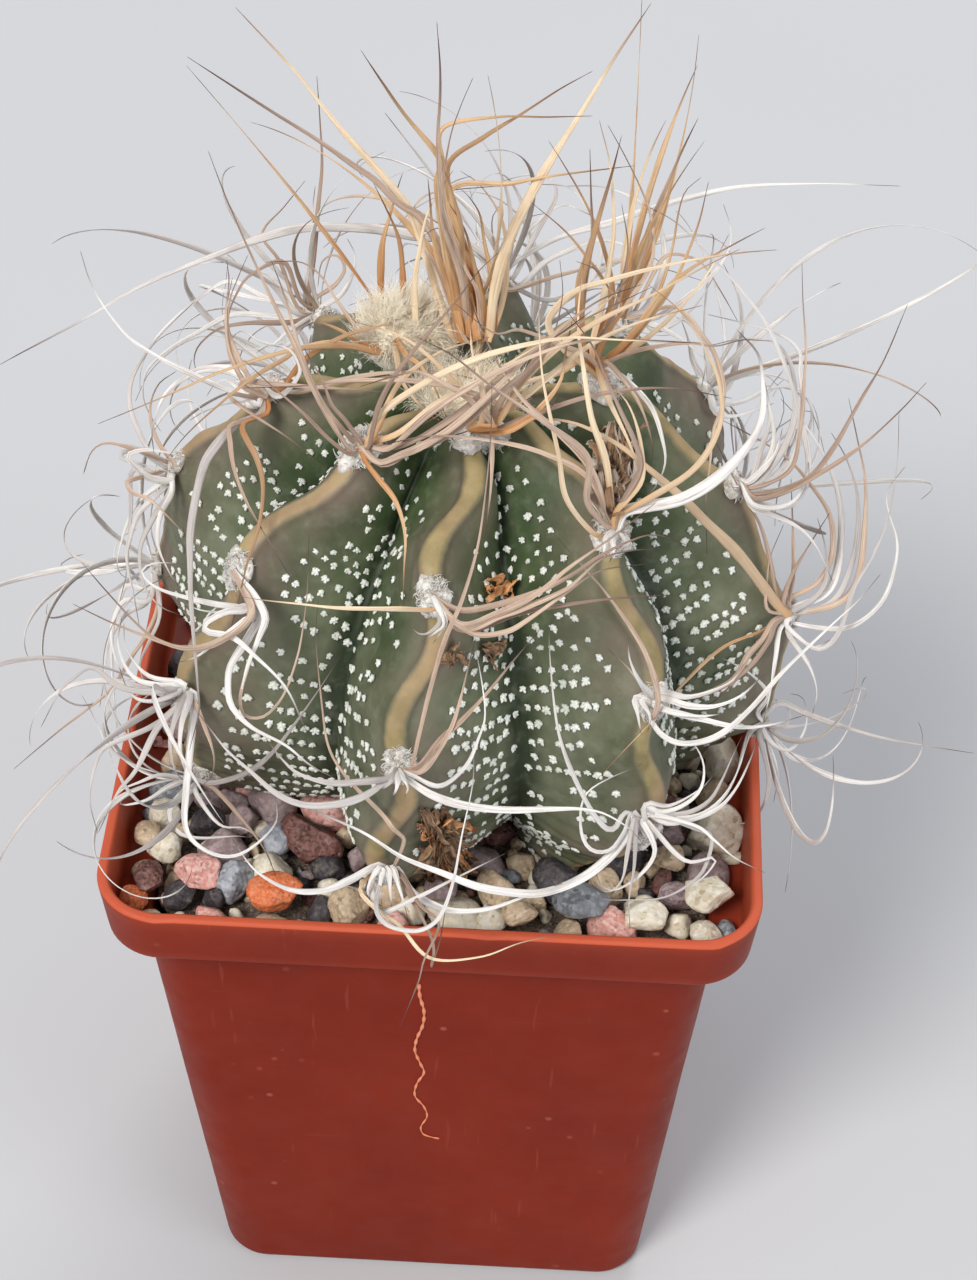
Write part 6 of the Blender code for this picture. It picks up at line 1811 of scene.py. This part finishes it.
STONE_MATS = {"pink_granite_stone": "granite", "brick_stone": "brick", "red_lava_stone": "lava",
              "beige_quartz_stone": "beige", "white_quartz_stone": "quartz",
              "cream_quartz_stone": "quartz", "grey_slate_stone": "slate",
              "sand_quartz_stone": "beige", "back_quartz_stone": "quartz", "back_lava_stone": "lava"}
SLOT_OF = {"granite": "granite", "brick": "brick", "lava": "lava", "beige": "gravel",
           "quartz": "quartz", "slate": "slate", "dark": "slate", "purple": "gravel",
           "bluish": "slate"}


# larger stones of the dressing: where they show in the frame, radius mm, mineral, lift
LAID_STONES = ((311, 841, 4.0, "lava", 0.2), (234, 882, 2.9, "bluish", 0.0), (349, 907, 3.0, "beige", 0.0),
               (167, 812, 2.3, "quartz", 0.2), (165, 846, 2.5, "quartz", 0.2), (133, 899, 1.8, "brick", 0.0),
               (180, 897, 2.0, "dark", -0.6), (276, 842, 2.5, "bluish", 0.0), (214, 897, 1.9, "dark", -0.6),
               (722, 832, 4.0, "quartz", 0.4), (668, 856, 2.4, "beige", 0.2), (666, 833, 2.3, "purple", 0.0),
               (676, 897, 2.3, "purple", -0.3), (708, 934, 2.1, "quartz", 0.0), (613, 929, 3.2, "granite", -0.8),
               (491, 919, 2.3, "quartz", 0.2), (244, 822, 2.3, "purple", 0.0), (205, 822, 2.4, "dark", -0.2),
               (330, 868, 2.2, "dark", -0.6), (556, 880, 3.4, "dark", -0.8))


def build_gravel(tree):
    rng = np.random.default_rng(5)
    big = []
    for k, (name, kind) in enumerate(sorted(STONE_MATS.items())):
        lo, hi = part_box(name)
        lo, hi = np.array(lo) / MM, np.array(hi) / MM
        p, f = stone_shape(rng, 4, 50 + k, 1.4, 0.07)
        p = (p - p.min(0)) / (p.max(0) - p.min(0))
        p = lo + p * (hi - lo)
        b = Build()
        b.add(p, None, f, 0, np.tile([[rng.random(), 0, 0, 0]], (len(p), 1)))
        b.object(f"{name}_shape", [MATS[kind]], slot=SLOT_OF[kind], replaces=[name])
        big.append(((lo + hi) / 2, (hi - lo) / 2))
    # bed of grit under the stones, dark: partly the grit's colour, partly painted shade between the stones
    level = POT_HEIGHT - 9.6
    cols, rows = 400, 60
    a = 2 * np.pi * np.arange(cols) / cols
    half, rad = inner_half(level) - 0.15, RIM_RADIUS - WALL
    edge = np.empty(cols)
    for i, t in enumerate(a):
        loR, hiR = 5.0, 70.0
        for _ in range(24):
            m = (loR + hiR) / 2
            if in_square(m * math.cos(t), m * math.sin(t), half, rad):
                loR = m
            else:
                hiR = m
        edge[i] = loR
    R = 7.0 + (edge[None] - 7.0) * (np.arange(rows)[:, None] / (rows - 1))
    X, Y = R * np.cos(a), R * np.sin(a)
    Z = level + 0.9 * fbm(np.stack([X / 3.2, Y / 3.2, X * 0], -1), 61, 3) + 0.3 * vnoise(np.stack([X, Y, X * 0], -1), 62)
    top = np.stack([X, Y, Z], -1).reshape(-1, 3)
    half2 = inner_half(POT_HEIGHT - 14.0) - 0.1
    shelf = np.minimum(R[-1], R[-1] * half2 / half)
    side = np.stack([R[-1] * np.cos(a), R[-1] * np.sin(a), np.full(cols, POT_HEIGHT - 9.8 + 1.35)], 1)
    low = np.stack([shelf * np.cos(a), shelf * np.sin(a), np.full(cols, POT_HEIGHT - 14.4)], 1)
    inn = np.stack([7.0 * np.cos(a), 7.0 * np.sin(a), np.full(cols, POT_HEIGHT - 14.4)], 1)
    low0 = np.stack([shelf * np.cos(a), shelf * np.sin(a), np.full(cols, POT_HEIGHT - 9.8)], 1)
    V = np.vstack([top, low0, low, inn])
    q = grid_faces(rows + 3, cols)
    close = np.stack([np.arange(cols) + (rows + 2) * cols, (np.arange(cols) + 1) % cols + (rows + 2) * cols,
                      (np.arange(cols) + 1) % cols, np.arange(cols)], 1)
    b = Build()
    b.add(V, np.vstack([q, close])[:, ::-1], None, 0, np.tile([[0.35, 0, 0, 0]], (len(V), 1)))
    # dark grit colours, partly painted shade in the gaps between the stones
    MATS["grit"] = stone_material("grit_bed_with_painted_shade", srgb(74, 62, 54), srgb(50, 42, 38), srgb(120, 106, 92), 1500.0, 0.6,
                                  spots=srgb(150, 132, 112))
    b.object("gravel_bed", [MATS["grit"]], slot="gravel", replaces=["gravel_dressing"])
    # loose stones, placed one by one where there is room
    kinds = ["quartz", "beige", "granite", "brick", "lava", "slate", "dark", "purple"]
    extra_kinds = ["bluish"]
    share = np.array([0.36, 0.25, 0.02, 0.012, 0.09, 0.08, 0.078, 0.11])
    groups = {k: Build() for k in kinds + extra_kinds}
    placed = []
    count = 0
    for px, py, r, kind, high in LAID_STONES:
        ray = at(px, py, 60.0) - CAM_POS
        z = POT_HEIGHT - 6.6 + high
        x, y, _ = CAM_POS + ray * (z - CAM_POS[2]) / ray[2]
        lim = inner_half(z) - r * 1.05
        x, y = float(np.clip(x, -lim, lim)), float(np.clip(y, -lim, lim))
        p, f = stone_shape(rng, 4, 200 + count, rng.uniform(1.2, 1.9), 0.07)
        scale = r * np.array([rng.uniform(1.0, 1.2), rng.uniform(0.85, 1.05), rng.uniform(0.75, 0.95)])
        p = inside_wall(turned(rng, p, scale) + [x, y, z])
        groups[kind].add(p, None, f, 0, np.tile([[rng.random(), 0, 0, 0]], (len(p), 1)))
        placed.append((x, y, z, r))
        count += 1

    def free(x, y, z, r, squeeze):
        for (c, e) in big:
            if abs(x - c[0]) < e[0] * 0.8 + r * 0.7 and abs(y - c[1]) < e[1] * 0.8 + r * 0.7:
                return False
        for (px, py, pz, pr) in placed:
            dx, dy, dz = x - px, y - py, z - pz
            if dx * dx + dy * dy + dz * dz < (squeeze * (r + pr)) ** 2:
                return False
        return True
    for (z0, sizes, tries, squeeze) in ((POT_HEIGHT - 7.6, (2.6, 4.2), 900, 0.86),
                                        (POT_HEIGHT - 8.2, (1.5, 2.6), 3200, 0.84),
                                        (POT_HEIGHT - 8.9, (0.8, 1.5), 5200, 0.80)):
        for _ in range(tries):
            x, y = rng.uniform(-44, 44, 2)
            r = rng.uniform(*sizes)
            z = z0 + rng.uniform(-0.7, 0.6)
            if not in_square(x, y, inner_half(z) - r * 0.85, rad - 0.5):
                continue
            hit, n, _, dist = tree.find_nearest(Vector((x, y, z)))
            if (Vector((x, y, z)) - hit).dot(n) < 0 or dist < r * 0.75:
                continue
            if not free(x, y, z, r, squeeze):
                continue
            placed.append((x, y, z, r))
            kind = kinds[rng.choice(len(kinds), p=share)]
            level_ = 3 if r > 2.2 else 2
            p, f = stone_shape(rng, level_, count % 89, rng.uniform(0.8, 1.7), 0.06)
            scale = r * np.array([rng.uniform(1.0, 1.3), rng.uniform(0.8, 1.1), rng.uniform(0.6, 0.95)])
            p = inside_wall(turned(rng, p, scale) + [x, y, z])
            groups[kind].add(p, None, f, 0, np.tile([[rng.random(), 0, 0, 0]], (len(p), 1)))
            count += 1
    for kind, g in groups.items():
        g.object(f"gravel_{kind}", [MATS[kind]], slot=SLOT_OF[kind])
    print("stones", count)


def soil_and_root(pot):
    n = Nodes("soil_dark")
    p = n.where()
    base = n.mix(n.ramp(n.noise(p, 300.0, 5.0), ((0.35, 0.0), (0.65, 1.0))), srgb(40, 30, 24), srgb(84, 66, 50))
    base = n.mix(n.ramp(n.voronoi(p, 500.0), ((0.0, 0.9), (0.25, 0.0))), base, srgb(150, 136, 116))
    m = n.finish(base, 0.95, n.bump(n.noise(p, 700.0, 6.0), 1.0, 0.5))
    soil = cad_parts["potting_soil"]
    soil.data.materials.clear()
    soil.data.materials.append(m)
    tree = tree_of(pot)
    r = Nodes("dry_root")
    q = r.where()
    root = r.finish(r.mix(r.noise(q, 900.0, 3.0), srgb(232, 150, 112), srgb(206, 112, 78)), 0.8,
                    r.bump(r.noise(q, 2000.0, 3.0), 0.5, 0.05))
    path = []
    for x, y in ((419, 984), (420, 996), (424, 1010), (423, 1024), (417, 1038), (415, 1050), (420, 1062),
                 (424, 1072), (417, 1083), (415, 1095), (424, 1106), (427, 1116), (421, 1126), (423, 1133),
                 (430, 1136), (439, 1138)):
        ray = at(x, y, 60.0) - CAM_POS
        hit, nn, _, _ = tree.ray_cast(Vector(CAM_POS), Vector(ray).normalized())
        if hit is not None:
            path.append(np.array(hit) + np.array(nn) * 0.10 * (1 if Vector(nn).dot(Vector(_back)) > 0 else -1))
    b = Build()
    line, _ = curve(path, 150)
    rng = np.random.default_rng(3)
    t, side, up = frames_along(line, [0, 0, 1])
    w = 0.24 * (1 + 0.35 * np.sin(np.arange(150) * 0.9)) * (1 - 0.55 * np.linspace(0, 1, 150))
    k = 7
    a = 2 * np.pi * np.arange(k) / k
    V = (line[:, None] + side[:, None] * (w[:, None] * np.cos(a))[..., None]
         + up[:, None] * (w[:, None] * np.sin(a))[..., None]).reshape(-1, 3)
    j = np.arange(1, k - 1)
    caps = np.vstack([np.stack([np.zeros(k - 2, int), j + 1, j], 1),
                      149 * k + np.stack([np.zeros(k - 2, int), j, j + 1], 1)])
    b.add(V, grid_faces(150, k), caps, 0)
    for i in (20, 44, 70, 101, 128):
        o = line[i]
        add_hair(b, [o, o + side[i] * 1.2 + up[i] * 0.3, o + side[i] * 2.2], 0.09, 0, rng)
    b.object("dry_root_thread", [root], slot="pot_plastic")


make_camera()
make_stage()
POT = build_pot()
STEM = build_stem()
TUFTS = build_tufts()
print("tufts", TUFTS)
TREE = build_clusters(STEM)
build_wool(TREE)
build_flowers(TREE)
build_gravel(TREE)
soil_and_root(POT)
for left in NODES:
    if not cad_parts[left].hide_render:
        print("still shown:", left)

print("cad", [[round(c * 1000, 1) for c in v] for v in CAD_BOX])
